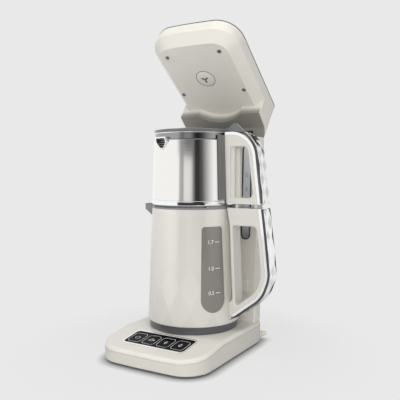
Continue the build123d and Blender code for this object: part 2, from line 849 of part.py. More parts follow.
# ---------------------------------------------------------------- hinge
barrel_side = Plane.YZ.offset(-barrel_length / 2)
with BuildPart() as hinge_bracket:
    with BuildSketch(barrel_side):
        with BuildLine():
            Polyline(
                (hinge_y - 16, column_top),
                (hinge_y - 1, column_top),
                (hinge_y + 2, hinge_z),
                (hinge_y - 3, hinge_z + 4),
                (hinge_y - 14, column_top + 3),
                close=True,
            )
        make_face()
        with Locations((hinge_y, hinge_z)):
            Circle(barrel_radius)
            Circle(pin_radius + pin_play, mode=Mode.SUBTRACT)
    extrude(amount=barrel_length)
hinge_bracket.part.label = "hinge_bracket"
export_step(hinge_bracket.part, "parts/hinge_bracket.step")

pin_length = barrel_length + 2 * (knuckle_gap + knuckle_length) + 2
with BuildPart() as hinge_pin:
    with BuildSketch(Plane.YZ.offset(-pin_length / 2)):
        with Locations((hinge_y, hinge_z)):
            Circle(pin_radius)
    extrude(amount=pin_length)
hinge_pin.part.label = "hinge_pin"
export_step(hinge_pin.part, "parts/hinge_pin.step")

# ---------------------------------------------------------------- head


def hinge_cylinder(radius, half_length):
    """A round bar along the hinge's axis."""
    with BuildSketch(Plane.YZ.offset(-half_length)) as section:
        with Locations((hinge_y, hinge_z)):
            Circle(radius)
    return section.sketch


barrel_cut = barrel_radius + 2 * fit_gap
housing_radius = barrel_cut + head_wall
pin_reach = pin_length / 2 + 1
core_z = plate_z + head_floor + (band_width - head_wall) * band_height / band_width
cover_z = wall_top + trim_height
outlet_axis = Axis(head_origin + head_back * outlet_y, head_up)

with BuildPart() as head_core:  # the hollow inside the head and its neck
    extrude(neck_outline(neck_low_z, head_wall), amount=wall_top - neck_low_z + 1)
    extrude(below_neck(head_wall), amount=2 * head_width, mode=Mode.SUBTRACT)
    loft([plate_outline(plate_z + head_floor), head_outline(core_z, head_wall)])
    extrude(head_outline(core_z, head_wall), amount=wall_top - core_z + 1)
    extrude(hinge_cylinder(housing_radius, pin_reach + head_wall), amount=2 * (pin_reach + head_wall), mode=Mode.SUBTRACT)

with BuildPart() as head_lower:
    loft([plate_outline(plate_z), head_outline(rim_z, 0)])
    extrude(head_outline(rim_z, 0), amount=wall_top - rim_z)
    extrude(neck_outline(neck_low_z - 1, 0), amount=wall_top - neck_low_z + 1)
    extrude(below_neck(0), amount=2 * head_width, mode=Mode.SUBTRACT)
    add(head_core.part, mode=Mode.SUBTRACT)
    extrude(hinge_cylinder(barrel_cut, pin_reach), amount=2 * pin_reach, mode=Mode.SUBTRACT)
    with BuildSketch(head_plane.offset(plate_z - 1)):
        with Locations((0, outlet_y)):
            Circle(outlet_radius + fit_gap)
        with Locations(*plate_screw_places):
            Circle(screw_shank + screw_play)
    extrude(amount=head_floor + 2, mode=Mode.SUBTRACT)
head_lower.part.label = "head_lower"
export_step(head_lower.part, "parts/head_lower.step")

with BuildPart() as head_trim:
    extrude(head_outline(wall_top, -trim_proud), amount=trim_height)
    extrude(head_outline(wall_top, head_wall + 1), amount=trim_height, mode=Mode.SUBTRACT)
head_trim.part.label = "head_trim"
export_step(head_trim.part, "parts/head_trim.step")

wall_run = head_wall * sqrt(1 + (cover_draw / cover_height) ** 2)  # the wall's width where the side leans
core_height = cover_height - head_wall
with BuildPart() as cover_core:
    loft(
        [
            head_outline(cover_z, wall_run),
            head_outline(cover_z + core_height, wall_run + core_height * cover_draw / cover_height),
        ]
    )

with BuildPart() as head_cover:
    loft([head_outline(cover_z, 0), head_outline(cover_z + cover_height, cover_draw)])
    fillet(head_cover.faces().sort_by(Axis(head_origin, head_up))[-1].edges(), radius=cover_round)
    add(cover_core.part, mode=Mode.SUBTRACT)
    boss_low = plate_z + head_floor
    with BuildSketch(head_plane.offset(boss_low)):
        with Locations(*plate_screw_places):
            Circle(boss_radius - 0.5)
    extrude(amount=cover_z + cover_height - head_wall / 2 - boss_low)
    with BuildSketch(head_plane.offset(boss_low)):
        with Locations(*plate_screw_places):
            Circle(screw_shank + screw_play)
    extrude(amount=base_screw_length, mode=Mode.SUBTRACT)
head_cover.part.label = "head_cover"
export_step(head_cover.part, "parts/head_cover.step")

with BuildPart() as plate_screws:
    with BuildSketch(head_plane.offset(plate_z)):
        with Locations(*plate_screw_places):
            Circle(screw_head)
    extrude(amount=-1)
    with BuildSketch(head_plane.offset(plate_z)):
        with Locations(*plate_screw_places):
            Circle(screw_shank)
    extrude(amount=base_screw_length)
    with BuildSketch(head_plane.offset(plate_z - 1)):
        with Locations(*plate_screw_places):
            Rectangle(screw_head, 0.8)
            Rectangle(0.8, screw_head)
    extrude(amount=0.6, mode=Mode.SUBTRACT)
plate_screws.part.label = "plate_screws"
export_step(plate_screws.part, "parts/plate_screws.step")

with BuildPart() as water_outlet:
    dome_face = outlet_y - outlet_radius
    flange_low = plate_z + head_floor
    with BuildSketch(head_side):
        with BuildLine():
            ThreePointArc(
                (outlet_y, plate_z - 2),
                (outlet_y - outlet_radius / 2, plate_z - 1.5),
                (dome_face, plate_z),
            )
            Polyline(
                (dome_face, plate_z),
                (dome_face, flange_low),
                (dome_face - 3, flange_low),
                (dome_face - 3, flange_low + 2),
                (outlet_y - stub_radius, flange_low + 2),
                (outlet_y - stub_radius, flange_low + stub_height),
                (outlet_y - riser_bore, flange_low + stub_height),
                (outlet_y - riser_bore, flange_low),
                (outlet_y - outlet_radius + 3, flange_low),
                (outlet_y - outlet_radius + 3, plate_z + 0.8),
                (outlet_y, plate_z + 0.2),
                (outlet_y, plate_z - 2),
            )
        make_face()
    revolve(axis=outlet_axis)
    with BuildSketch(head_plane.offset(plate_z - 3)):
        with Locations((0, outlet_y)):
            with PolarLocations(outlet_slot_length / 2, 3, start_angle=90):
                Rectangle(outlet_slot_length, outlet_slot)
    extrude(amount=4, mode=Mode.SUBTRACT)
water_outlet.part.label = "water_outlet"
export_step(water_outlet.part, "parts/water_outlet.step")

tube_start = plate_z + head_floor + stub_height
tube_end_y = neck_bend_y - 6
with BuildPart() as feed_tube:
    with BuildLine(head_side) as route:
        FilletPolyline(
            (outlet_y, tube_start),
            (outlet_y, tube_start + feed_rise),
            (tube_end_y, tube_start + feed_rise),
            (tube_end_y, neck_front_z + 2),
            radius=feed_bend,
        )
    with BuildSketch(Plane(origin=route.line @ 0, z_dir=route.line % 0)):
        Circle(riser_radius)
        Circle(riser_bore, mode=Mode.SUBTRACT)
    sweep()
feed_tube.part.label = "feed_tube"
export_step(feed_tube.part, "parts/feed_tube.step")

with BuildPart() as hinge_knuckles:
    knuckle_start = barrel_length / 2 + knuckle_gap
    for side in (-1, 1):
        middle = side * (knuckle_start + knuckle_length / 2)
        with BuildSketch(Plane.YZ.offset(middle)):
            with Locations((hinge_y, hinge_z)):
                Circle(barrel_cut - touch_gap)
                Circle(pin_radius + pin_play, mode=Mode.SUBTRACT)
        extrude(amount=knuckle_length / 2, both=True)
hinge_knuckles.part.label = "hinge_knuckles"
export_step(hinge_knuckles.part, "parts/hinge_knuckles.step")

# ---------------------------------------------------------------- kettle
with BuildPart() as kettle_ring:
    ring_shoulder = jacket_foot_radius - jacket_wall - fit_gap
    ring_inner = ring_foot_radius - ring_wall
    ring_high = jacket_bottom + 4
    revolve(
        turned_profile(
            [
                (ring_foot_radius, deck_height),
                (ring_shoulder, jacket_bottom),
                (ring_shoulder - touch_gap, ring_high),
                (ring_inner, ring_high),
                (ring_inner, pan_z),
                (ring_inner - 3, pan_z),
                (ring_inner - 3, pan_z - 2),
                (ring_inner, pan_z - 2),
                (ring_inner, deck_height),
            ]
        ),
        axis=Axis.Z,
    )
    fillet(kettle_ring.edges().filter_by(GeomType.CIRCLE).group_by(Axis.Z)[0].sort_by(SortBy.RADIUS)[-1], radius=ring_round)
kettle_ring.part.label = "kettle_ring"
export_step(kettle_ring.part, "parts/kettle_ring.step")

with BuildPart() as kettle_bottom:
    socket_inner = dock_radius + 1
    socket_outer = socket_inner + socket_wall
    socket_top = deck_height + dock_height + 4.5
    revolve(
        turned_profile(
            [
                (socket_inner, deck_height + 2.5),
                (socket_outer, deck_height + 2.5),
                (socket_outer, pan_z),
                (ring_inner - fit_gap, pan_z),
                (ring_inner - fit_gap, pan_z + pan_thickness),
                (socket_outer, pan_z + pan_thickness),
                (socket_outer, socket_top),
                (0, socket_top),
                (0, socket_top - 2),
                (socket_inner, socket_top - 2),
            ]
        ),
        axis=Axis.Z,
    )
kettle_bottom.part.label = "kettle_bottom"
export_step(kettle_bottom.part, "parts/kettle_bottom.step")

with BuildPart() as kettle_heater:
    with BuildSketch(Plane.XY.offset(socket_top)):
        Circle(heater_radius)
    extrude(amount=heater_thickness)
kettle_heater.part.label = "kettle_heater"
export_step(kettle_heater.part, "parts/kettle_heater.step")

window_plane = facing_plane(window_angle)


def window_outline(inset):
    """Straight-sided window that narrows upwards, with a half-round lower end."""
    low_half = window_low_width / 2
    low_middle = window_low + low_half
    high_half = window_high_width / 2
    with BuildSketch(window_plane) as outline:
        with BuildLine():
            ThreePointArc((-low_half + inset, low_middle), (0, window_low + inset), (low_half - inset, low_middle))
            Polyline(
                (low_half - inset, low_middle),
                (high_half - inset, window_high - inset),
                (-high_half + inset, window_high - inset),
                (-low_half + inset, low_middle),
            )
        make_face()
        fillet(outline.vertices().group_by(Axis.Y)[-1], radius=window_corner - inset / 2)
    return outline.sketch


with BuildPart() as kettle_jacket:
    revolve(cone_band(jacket_radius, jacket_bottom, jacket_top, 0, jacket_wall), axis=Axis.Z)
    fillet(kettle_jacket.edges().filter_by(GeomType.CIRCLE).sort_by(SortBy.RADIUS)[-1], radius=jacket_round)
    extrude(window_outline(0), amount=2 * jacket_foot_radius, mode=Mode.SUBTRACT)
    with BuildSketch(Plane.YZ):
        with Locations((0, beak_low - fit_gap)):
            Rectangle(2 * (beak_half + fit_gap), jacket_top, align=(Align.CENTER, Align.MIN))
    extrude(amount=-2 * jacket_foot_radius, mode=Mode.SUBTRACT)
kettle_jacket.part.label = "kettle_jacket"
export_step(kettle_jacket.part, "parts/kettle_jacket.step")

with BuildPart() as kettle_window:
    extrude(window_outline(fit_gap), amount=2 * jacket_foot_radius)
    add(revolve(cone_core(jacket_radius, jacket_bottom, jacket_top, -fit_gap), axis=Axis.Z, mode=Mode.PRIVATE), mode=Mode.INTERSECT)
    add(revolve(cone_core(liner_radius, liner_bottom, liner_top, touch_gap), axis=Axis.Z, mode=Mode.PRIVATE), mode=Mode.SUBTRACT)
kettle_window.part.label = "kettle_window"
export_step(kettle_window.part, "parts/kettle_window.step")

with BuildPart() as kettle_liner:
    revolve(
        turned_profile(
            [
                (0, liner_bottom),
                (liner_foot_radius, liner_bottom),
                (liner_top_radius, liner_top - liner_wall),
                (collar_seat, liner_top - liner_wall),
                (collar_seat, liner_top),
                (liner_top_radius - liner_wall, liner_top),
                (liner_foot_radius - liner_wall, liner_bottom + liner_wall),
                (0, liner_bottom + liner_wall),
            ]
        ),
        axis=Axis.Z,
    )
    extrude(window_outline(4), amount=2 * jacket_foot_radius, mode=Mode.SUBTRACT)
kettle_liner.part.label = "kettle_liner"
export_step(kettle_liner.part, "parts/kettle_liner.step")

with BuildPart() as kettle_collar:
    revolve(
        turned_profile(
            [
                (collar_opening, liner_top),
                (collar_seat, liner_top),
                (collar_seat, jacket_top),
                (collar_radius, jacket_top),
                (collar_radius, collar_flange_z),
                (collar_step, collar_flange_z),
                (collar_step, collar_top),
                (collar_opening, collar_top),
            ]
        ),
        axis=Axis.Z,
    )
    with BuildSketch(Plane.YZ):
        with Locations((0, liner_top + (collar_flange_z - liner_top) / 2)):
            Rectangle(2 * (beak_half - beak_wall), collar_flange_z - liner_top)
    extrude(amount=-2 * jacket_foot_radius, mode=Mode.SUBTRACT)
    with BuildSketch(Plane.XY.offset(collar_flange_z)) as lip:
        Circle(collar_radius)
        Circle(collar_step, mode=Mode.SUBTRACT)
        with BuildLine():
            reach = 2 * jacket_foot_radius
            Polyline(
                (0, 0),
                (reach * cos(radians(lip_start)), -reach * sin(radians(lip_start))),
                (reach * cos(radians(lip_end)), -reach * sin(radians(lip_end))),
                close=True,
            )
        make_face(mode=Mode.INTERSECT)
    extrude(amount=collar_top - collar_flange_z - fit_gap)
kettle_collar.part.label = "kettle_collar"
export_step(kettle_collar.part, "parts/kettle_collar.step")


def beak_plan(inset):
    """Plan of the pouring beak: sides that close on a rounded tip."""
    half = beak_half - inset
    with BuildSketch(Plane.XY.offset(beak_low - 1)) as outline:
        with BuildLine():
            FilletPolyline(
                (-collar_opening, half),
                (-collar_opening, -half),
                (-beak_root, -half),
                (-beak_tip + inset, -beak_tip_half),
                (-beak_tip + inset, beak_tip_half),
                (-beak_root, half),
                radius=[0, 0, beak_side_round, beak_tip_round, beak_tip_round, beak_side_round],
                close=True,
            )
        make_face()
    return outline.sketch


def beak_profile(lift):
    """Side view of the beak, with its underside raised by lift."""
    points = [
        (-collar_opening, beak_low + lift),
        (-beak_root - beak_wall, beak_low + lift),
        (-beak_tip, beak_tip_low + lift),
        (-beak_tip - beak_reach, beak_tip_low + lift),
        (-beak_tip - beak_reach, beak_top + beak_foot),
        (-collar_opening, beak_top + beak_foot),
    ]
    return rounded_loop(Plane.XZ.offset(-beak_tip), points, [0, beak_under_round, beak_side_round, 0, 0, 0])


with BuildPart() as beak_channel:
    extrude(beak_plan(beak_wall), amount=2 * (beak_top - beak_low))
    extrude(beak_profile(beak_wall), amount=2 * beak_tip, mode=Mode.INTERSECT)

with BuildPart() as kettle_beak:
    extrude(beak_plan(0), amount=beak_top - beak_low + 1)
    extrude(beak_profile(0), amount=2 * beak_tip, mode=Mode.INTERSECT)
    add(beak_channel.part, mode=Mode.SUBTRACT)
    with BuildSketch(Plane.XY):
        Circle(beak_root)
    extrude(amount=2 * beak_low, mode=Mode.SUBTRACT)
    with BuildSketch(Plane.XY.offset(jacket_top - fit_gap)):
        Circle(collar_radius + fit_gap)
    extrude(amount=beak_low, mode=Mode.SUBTRACT)
kettle_beak.part.label = "kettle_beak"
export_step(kettle_beak.part, "parts/kettle_beak.step")


# ---------------------------------------------------------------- handles
def beside(path, distance):
    """The corners of the line that runs beside a path at a distance."""
    steps = [Vector(*after) - Vector(*before) for before, after in zip(path, path[1:])]
    sides = [Vector(-step.Y, step.X).normalized() for step in steps]
    corners = []
    for point, left, right in zip(path, [sides[0]] + sides, sides + [sides[-1]]):
        corner = Vector(*point) + (left + right) * (distance / (1 + left.dot(right)))
        corners.append((corner.X, corner.Y))
    return corners


def handle_strip(path, rounds, near, far, frame_points):
    """A strip that follows a handle's outer line, cut off by a frame."""
    points = beside(path, far) + beside(path, near)[::-1]
    far_rounds = [r + far if r else 0 for r in rounds]
    near_rounds = [r + near if r else 0 for r in rounds]
    with BuildSketch(Plane.XZ) as strip:
        with BuildLine():
            FilletPolyline(*points, radius=far_rounds + near_rounds[::-1], close=True)
        make_face()
        with BuildLine():
            Polyline(*frame_points, close=True)
        make_face(mode=Mode.INTERSECT)
    return strip.sketch


def handle_face(path, rounds, back_corner, frame_points):
    """The handle's side view, without its finger opening."""
    with BuildSketch(Plane.XZ) as face:
        with BuildLine():
            FilletPolyline(*path, back_corner, radius=rounds + [0], close=True)
        make_face()
        with BuildLine():
            Polyline(*frame_points, close=True)
        make_face(mode=Mode.INTERSECT)
    return face.sketch


def finger_opening(path, rounds, back_corner, frame_points, corners):
    """The opening between a frame and the inside of the handle's bar."""
    inner = beside(path, -handle_bar)
    inner_rounds = [r - handle_bar if r else 0 for r in rounds]
    with BuildSketch(Plane.XZ) as opening:
        with BuildLine():
            FilletPolyline(*inner, back_corner, radius=inner_rounds + [0], close=True)
        make_face()
        with BuildLine():
            Polyline(*frame_points, close=True)
        make_face(mode=Mode.INTERSECT)
        for level, end, radius in corners:
            fillet(opening.vertices().group_by(Axis.Y)[level].sort_by(Axis.X)[end], radius=radius)
    return opening.sketch


def opening_edges(handle):
    """The edges of the finger opening on the handle's near and far faces."""
    sides = handle.faces().filter_by(Axis.Y).sort_by(Axis.Y)
    return [edge for face in (sides[0], sides[-1]) for edge in face.inner_wires()[0].edges()]


handle_far = 3 * jacket_foot_radius
kettle_line = [
    (jacket_top_radius + top_reach, kettle_handle_top + handle_overrun),
    (jacket_top_radius + waist_reach, jacket_top - waist_drop),
    (jacket_foot_radius + bend_reach, jacket_bottom + bend_rise),
    (jacket_foot_radius + heel_reach, jacket_bottom + heel_rise),
    (jacket_foot_radius - 16, jacket_bottom + root_rise),
]
kettle_line_rounds = [0, waist_round, bend_round, bend_round, 0]
kettle_back = (jacket_foot_radius - 16, kettle_handle_top + handle_overrun)
kettle_frame = [(0, 0), (handle_far, 0), (handle_far, kettle_handle_top), (0, kettle_handle_top)]
kettle_grip_high = jacket_top - kettle_grip_drop
kettle_grip_frame = [
    (jacket_radius(jacket_bottom) + spine_gap, jacket_bottom),
    (jacket_radius(kettle_grip_high) + spine_gap, kettle_grip_high),
    (handle_far, kettle_grip_high),
    (handle_far, jacket_bottom),
]
kettle_band_frame = [
    (jacket_foot_radius - 16, jacket_bottom - 1.6),
    (jacket_foot_radius + 34, jacket_bottom + 23),
    (handle_far, jacket_bottom + 72),
    (handle_far, kettle_handle_top),
    (jacket_foot_radius - 16, kettle_handle_top),
]

with BuildPart() as jacket_gap:  # the jacket's cone, grown by the fit
    revolve(cone_core(jacket_radius, 0, 2 * jacket_top, fit_gap), axis=Axis.Z)

with BuildPart() as spine_hollow:  # the space at both sides of the rib between the spine and the jacket
    spine_low = jacket_bottom + spine_foot
    spine_depth = spine_gap - spine_wall
    revolve(
        turned_profile(
            [
                (0, spine_low),
                (jacket_radius(spine_low), spine_low),
                (jacket_radius(spine_low) + spine_depth, spine_low + spine_depth),
                (jacket_radius(kettle_grip_high) + spine_depth, kettle_grip_high),
                (jacket_top_radius + handle_stand, kettle_handle_top),
                (jacket_top_radius + handle_stand, jacket_top + spine_low),
                (0, jacket_top + spine_low),
            ]
        ),
        axis=Axis.Z,
    )
    with BuildSketch(Plane.XZ):
        with Locations((jacket_foot_radius, jacket_top)):
            Rectangle(2 * jacket_foot_radius, 2 * jacket_top)
    extrude(amount=spine_rib / 2, both=True, mode=Mode.SUBTRACT)

with BuildPart() as kettle_handle:
    extrude(handle_face(kettle_line, kettle_line_rounds, kettle_back, kettle_frame), amount=handle_width / 2, both=True)
    extrude(
        finger_opening(
            kettle_line,
            kettle_line_rounds,
            kettle_back,
            kettle_grip_frame,
            [(-1, -1, grip_round), (-1, 0, spine_round), (0, 0, spine_round)],
        ),
        amount=handle_width,
        both=True,
        mode=Mode.SUBTRACT,
    )
    fillet(opening_edges(kettle_handle), radius=handle_edge)
    add(jacket_gap.part, mode=Mode.SUBTRACT)
    add(spine_hollow.part, mode=Mode.SUBTRACT)
kettle_handle.part.label = "kettle_handle"
export_step(kettle_handle.part, "parts/kettle_handle.step")

with BuildPart() as kettle_trim:
    extrude(
        handle_strip(kettle_line, kettle_line_rounds, touch_gap, handle_trim, kettle_frame),
        amount=handle_width / 2,
        both=True,
    )
    add(jacket_gap.part, mode=Mode.SUBTRACT)
kettle_trim.part.label = "kettle_trim"
export_step(kettle_trim.part, "parts/kettle_trim.step")

band_near = handle_trim + touch_gap
with BuildPart() as kettle_band:
    extrude(
        handle_strip(
            kettle_line, kettle_line_rounds, band_near, band_near + kettle_band_thickness, kettle_band_frame
        ),
        amount=handle_width / 2 - band_inset,
        both=True,
    )
    add(jacket_gap.part, mode=Mode.SUBTRACT)
kettle_band.part.label = "kettle_band"
export_step(kettle_band.part, "parts/kettle_band.step")

# ---------------------------------------------------------------- teapot
with BuildPart() as pot_ring:
    revolve(
        turned_profile(
            [
                (collar_step - 4, pot_ring_low),
                (pot_ring_radius, pot_ring_low),
                (pot_ring_radius, pot_low),
                (pot_ring_radius - pot_ring_wall, pot_low),
                (pot_ring_radius - pot_ring_wall, pot_ring_low + 2),
                (collar_step - 4, pot_ring_low + 2),
            ]
        ),
        axis=Axis.Z,
    )
    fillet(pot_ring.edges().filter_by(GeomType.CIRCLE).filter_by(lambda e: e.radius > pot_ring_radius - 0.1), radius=1.2)
pot_ring.part.label = "pot_ring"
export_step(pot_ring.part, "parts/pot_ring.step")

spout_plane = facing_plane(spout_angle)


def shield(inset, distance):
    """The pouring opening: flat on top, drawn to a blunt point below."""
    half = spout_half - inset
    high = spout_high - inset
    low = spout_low + inset
    points = [(-half, high), (-half, high - 7), (-3.5, low), (3.5, low), (half, high - 7), (half, high)]
    return rounded_loop(spout_plane.offset(distance), points, [1.5, 6.0, 4.0, 4.0, 6.0, 1.5])


with BuildPart() as pot_body:
    revolve(
        turned_profile(
            [
                (0, pot_low),
                (pot_low_radius, pot_low),
                (pot_high_radius, pot_high),
                (pot_high_radius - pot_wall, pot_high),
                (pot_low_radius - pot_wall, pot_low + pot_wall),
                (0, pot_low + pot_wall),
            ]
        ),
        axis=Axis.Z,
    )
    extrude(shield(-touch_gap, 50), amount=40, mode=Mode.SUBTRACT)
pot_body.part.label = "pot_body"
export_step(pot_body.part, "parts/pot_body.step")

with BuildPart() as pot_neck:
    revolve(
        turned_profile(
            [
                (neck_inner - 2.5, pot_high),
                (pot_high_radius, pot_high),
                (neck_radius, pot_high + 2),
                (neck_radius, neck_top),
                (neck_inner, neck_top),
                (neck_inner, pot_high + pot_wall),
                (neck_inner - 2.5, pot_high + pot_wall),
            ]
        ),
        axis=Axis.Z,
    )
    extrude(shield(-touch_gap, 50), amount=40, mode=Mode.SUBTRACT)
pot_neck.part.label = "pot_neck"
export_step(pot_neck.part, "parts/pot_neck.step")

with BuildPart() as pot_rim:
    revolve(
        turned_profile(
            [
                (neck_inner, neck_top),
                (rim_radius, neck_top),
                (rim_radius, neck_top + rim_thickness),
                (neck_inner, neck_top + rim_thickness),
            ]
        ),
        axis=Axis.Z,
    )
    outer_edges = pot_rim.edges().filter_by(GeomType.CIRCLE).filter_by(lambda e: e.radius > rim_radius - 0.1)
    fillet(outer_edges, radius=0.6)
pot_rim.part.label = "pot_rim"
export_step(pot_rim.part, "parts/pot_rim.step")

with BuildPart() as pot_spout:
    extrude(shield(0, pot_high_radius - 4), amount=3 * spout_proud)
    with BuildSketch(Plane(origin=(0, 0, 0), x_dir=spout_plane.z_dir, z_dir=spout_plane.x_dir * -1).offset(-30)):
        with BuildLine():
            Polyline(
                (pot_radius(spout_low), spout_low - 2),
                (pot_high_radius + spout_proud, spout_high),
                (pot_high_radius + spout_proud, spout_high + 2),
                (pot_high_radius + 40, spout_high + 2),
                (pot_high_radius + 40, spout_low - 2),
                close=True,
            )
        make_face()
    extrude(amount=60, mode=Mode.SUBTRACT)
    extrude(shield(2.2, 40), amount=60, mode=Mode.SUBTRACT)
pot_spout.part.label = "pot_spout"
export_step(pot_spout.part, "parts/pot_spout.step")

with BuildPart() as pot_strainer:
    extrude(shield(2.4, pot_high_radius - 3), amount=2)
    slat_pitch = (spout_high - spout_low - 4) / slat_count
    with BuildSketch(spout_plane):
        for n in range(slat_count):
            with Locations((0, spout_low + 3 + slat_pitch * (n + 0.5))):
                Rectangle(2 * spout_half - 9, slat_pitch - slat_height)
    extrude(amount=100, mode=Mode.SUBTRACT)
pot_strainer.part.label = "pot_strainer"
export_step(pot_strainer.part, "parts/pot_strainer.step")

with BuildPart() as pot_gap:  # the teapot's cone, grown by the mount
    revolve(cone_core(pot_radius, 0, 2 * pot_high, touch_gap + mount_thickness + touch_gap), axis=Axis.Z)
    with BuildSketch(Plane.XY.offset(pot_high + 3)):
        Circle(rim_radius + fit_gap)
    extrude(amount=40)

with BuildPart() as handle_mount:
    revolve(
        cone_band(pot_radius, pot_low + 1, pot_high + 8, -touch_gap - mount_thickness, -touch_gap),
        axis=Axis.Z,
    )
    with BuildSketch(Plane.XY):
        with BuildLine():
            reach = 2 * pot_low_radius
            Polyline(
                (0, 0),
                (reach * cos(radians(mount_half_angle)), -reach * sin(radians(mount_half_angle))),
                (reach * cos(radians(mount_half_angle)), reach * sin(radians(mount_half_angle))),
                close=True,
            )
        make_face()
    extrude(amount=2 * pot_high, mode=Mode.INTERSECT)
handle_mount.part.label = "handle_mount"
export_step(handle_mount.part, "parts/handle_mount.step")

teapot_line = [
    (jacket_foot_radius - 26, pot_high + teapot_handle_rise),
    (pot_high_radius + teapot_top_reach, pot_high + teapot_handle_rise),
    (pot_low_radius + teapot_heel_reach, teapot_handle_low - handle_overrun),
]
teapot_line_rounds = [0, teapot_handle_round, 0]
teapot_back = (jacket_foot_radius - 26, teapot_handle_low - handle_overrun)
teapot_frame = [(0, teapot_handle_low), (handle_far, teapot_handle_low), (handle_far, 2 * pot_high), (0, 2 * pot_high)]
rib_x = pot_low_radius + rib_reach
teapot_grip_low = pot_low + teapot_grip_lift
teapot_grip_high = pot_high - teapot_grip_drop
teapot_grip_frame = [
    (rib_x, teapot_grip_low),
    (rib_x, teapot_grip_high),
    (handle_far, teapot_grip_high),
    (handle_far, teapot_grip_low),
]
band_start_x = pot_high_radius + teapot_band_start
teapot_band_frame = [
    (band_start_x, teapot_handle_low),
    (handle_far, teapot_handle_low),
    (handle_far, 2 * pot_high),
    (band_start_x, 2 * pot_high),
]

with BuildPart() as teapot_handle:
    extrude(handle_face(teapot_line, teapot_line_rounds, teapot_back, teapot_frame), amount=handle_width / 2, both=True)
    extrude(
        finger_opening(
            teapot_line,
            teapot_line_rounds,
            teapot_back,
            teapot_grip_frame,
            [(-1, -1, grip_round), (0, -1, grip_round), (-1, 0, spine_round), (0, 0, spine_round)],
        ),
        amount=handle_width,
        both=True,
        mode=Mode.SUBTRACT,
    )
    for half_width, depth in rib_steps:
        for side in (-1, 1):
            with BuildSketch(Plane.XZ.offset(side * half_width)):
                with Locations((rib_x, (teapot_grip_low + teapot_grip_high) / 2)):
                    RectangleRounded(2 * depth, teapot_grip_high - teapot_grip_low, spine_round)
            extrude(amount=side * handle_width, mode=Mode.SUBTRACT)
    fillet(opening_edges(teapot_handle), radius=handle_edge)
    with BuildSketch(Plane.XY.offset(kettle_handle_top + fit_gap)):
        with Locations(*[(jacket_top_radius + reach, 0) for reach in lug_reaches]):
            RectangleRounded(lug_width, handle_width - 8, 2)
    extrude(amount=teapot_handle_low - kettle_handle_top - fit_gap + 1)
    add(pot_gap.part, mode=Mode.SUBTRACT)
teapot_handle.part.label = "teapot_handle"
export_step(teapot_handle.part, "parts/teapot_handle.step")

with BuildPart() as teapot_trim:
    extrude(
        handle_strip(teapot_line, teapot_line_rounds, touch_gap, handle_trim, teapot_frame),
        amount=handle_width / 2,
        both=True,
    )
    add(pot_gap.part, mode=Mode.SUBTRACT)
teapot_trim.part.label = "teapot_trim"
export_step(teapot_trim.part, "parts/teapot_trim.step")

with BuildPart() as teapot_band:
    extrude(
        handle_strip(
            teapot_line, teapot_line_rounds, band_near, band_near + teapot_band_thickness, teapot_band_frame
        ),
        amount=handle_width / 2 - band_inset,
        both=True,
    )
teapot_band.part.label = "teapot_band"
export_step(teapot_band.part, "parts/teapot_band.step")

with BuildPart() as tea_basket:
    basket_flange = pot_high + pot_wall
    revolve(
        turned_profile(
            [
                (0, basket_low),
                (basket_radius, basket_low),
                (basket_radius, basket_flange),
                (neck_inner - fit_gap, basket_flange),
                (neck_inner - fit_gap, basket_flange + basket_wall),
                (basket_radius - basket_wall, basket_flange + basket_wall),
                (basket_radius - basket_wall, basket_low + basket_wall),
                (0, basket_low + basket_wall),
            ]
        ),
        axis=Axis.Z,
    )
    for height in (basket_low + 14, basket_low + 34, basket_low + 54):
        with BuildSketch(Plane.XY.offset(height)):
            with PolarLocations(basket_radius, 16):
                Rectangle(4 * basket_wall, 2)
        extrude(amount=14, mode=Mode.SUBTRACT)
tea_basket.part.label = "tea_basket"
export_step(tea_basket.part, "parts/tea_basket.step")

# ---------------------------------------------------------------- lid
with BuildPart() as teapot_lid:
    lid_edge = lid_low + lid_edge_height
    with BuildSketch(Plane.XZ):
        with BuildLine():
            Polyline(
                (lid_hole, lid_edge + lid_dome - lid_wall - 1),
                (plug_radius - lid_wall, lid_low + 1),
                (plug_radius - lid_wall, lid_low - plug_depth),
                (plug_radius, lid_low - plug_depth),
                (plug_radius, lid_low),
                (lid_radius, lid_low),
                (lid_radius, lid_edge),
            )
            ThreePointArc(
                (lid_radius, lid_edge),
                ((lid_radius + lid_hole) / 2, lid_edge + lid_dome * 0.75),
                (lid_hole, lid_edge + lid_dome),
            )
            Line((lid_hole, lid_edge + lid_dome), (lid_hole, lid_edge + lid_dome - lid_wall - 1))
        make_face()
    revolve(axis=Axis.Z)
    fillet(teapot_lid.edges().filter_by(lambda e: abs(e.center().Z - lid_edge) < 0.01), radius=1.0)
teapot_lid.part.label = "teapot_lid"
export_step(teapot_lid.part, "parts/teapot_lid.step")

with BuildPart() as lid_tab:
    seat_x = lid_radius + touch_gap
    points = [
        (seat_x, lid_low + 0.8),
        (seat_x, lid_edge + 1),
        (lid_radius + tab_crest, lid_edge + tab_rise),
        (lid_radius + tab_crest + 4, lid_edge + tab_rise - 0.5),
        (lid_radius + tab_reach, lid_edge - tab_drop),
        (lid_radius + tab_crest, lid_low + 1.1),
    ]
    extrude(rounded_loop(Plane.XZ, points, [0, 0, 2.0, 3.0, 1.0, 4.0]), amount=tab_width / 2, both=True)
lid_tab.part.label = "lid_tab"
export_step(lid_tab.part, "parts/lid_tab.step")
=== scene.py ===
# Automatic tea maker: kettle and teapot stacked under a hinged head
import json
from math import atan2, cos, inf, pi, radians, sin

import bpy
from mathutils import Matrix, Vector

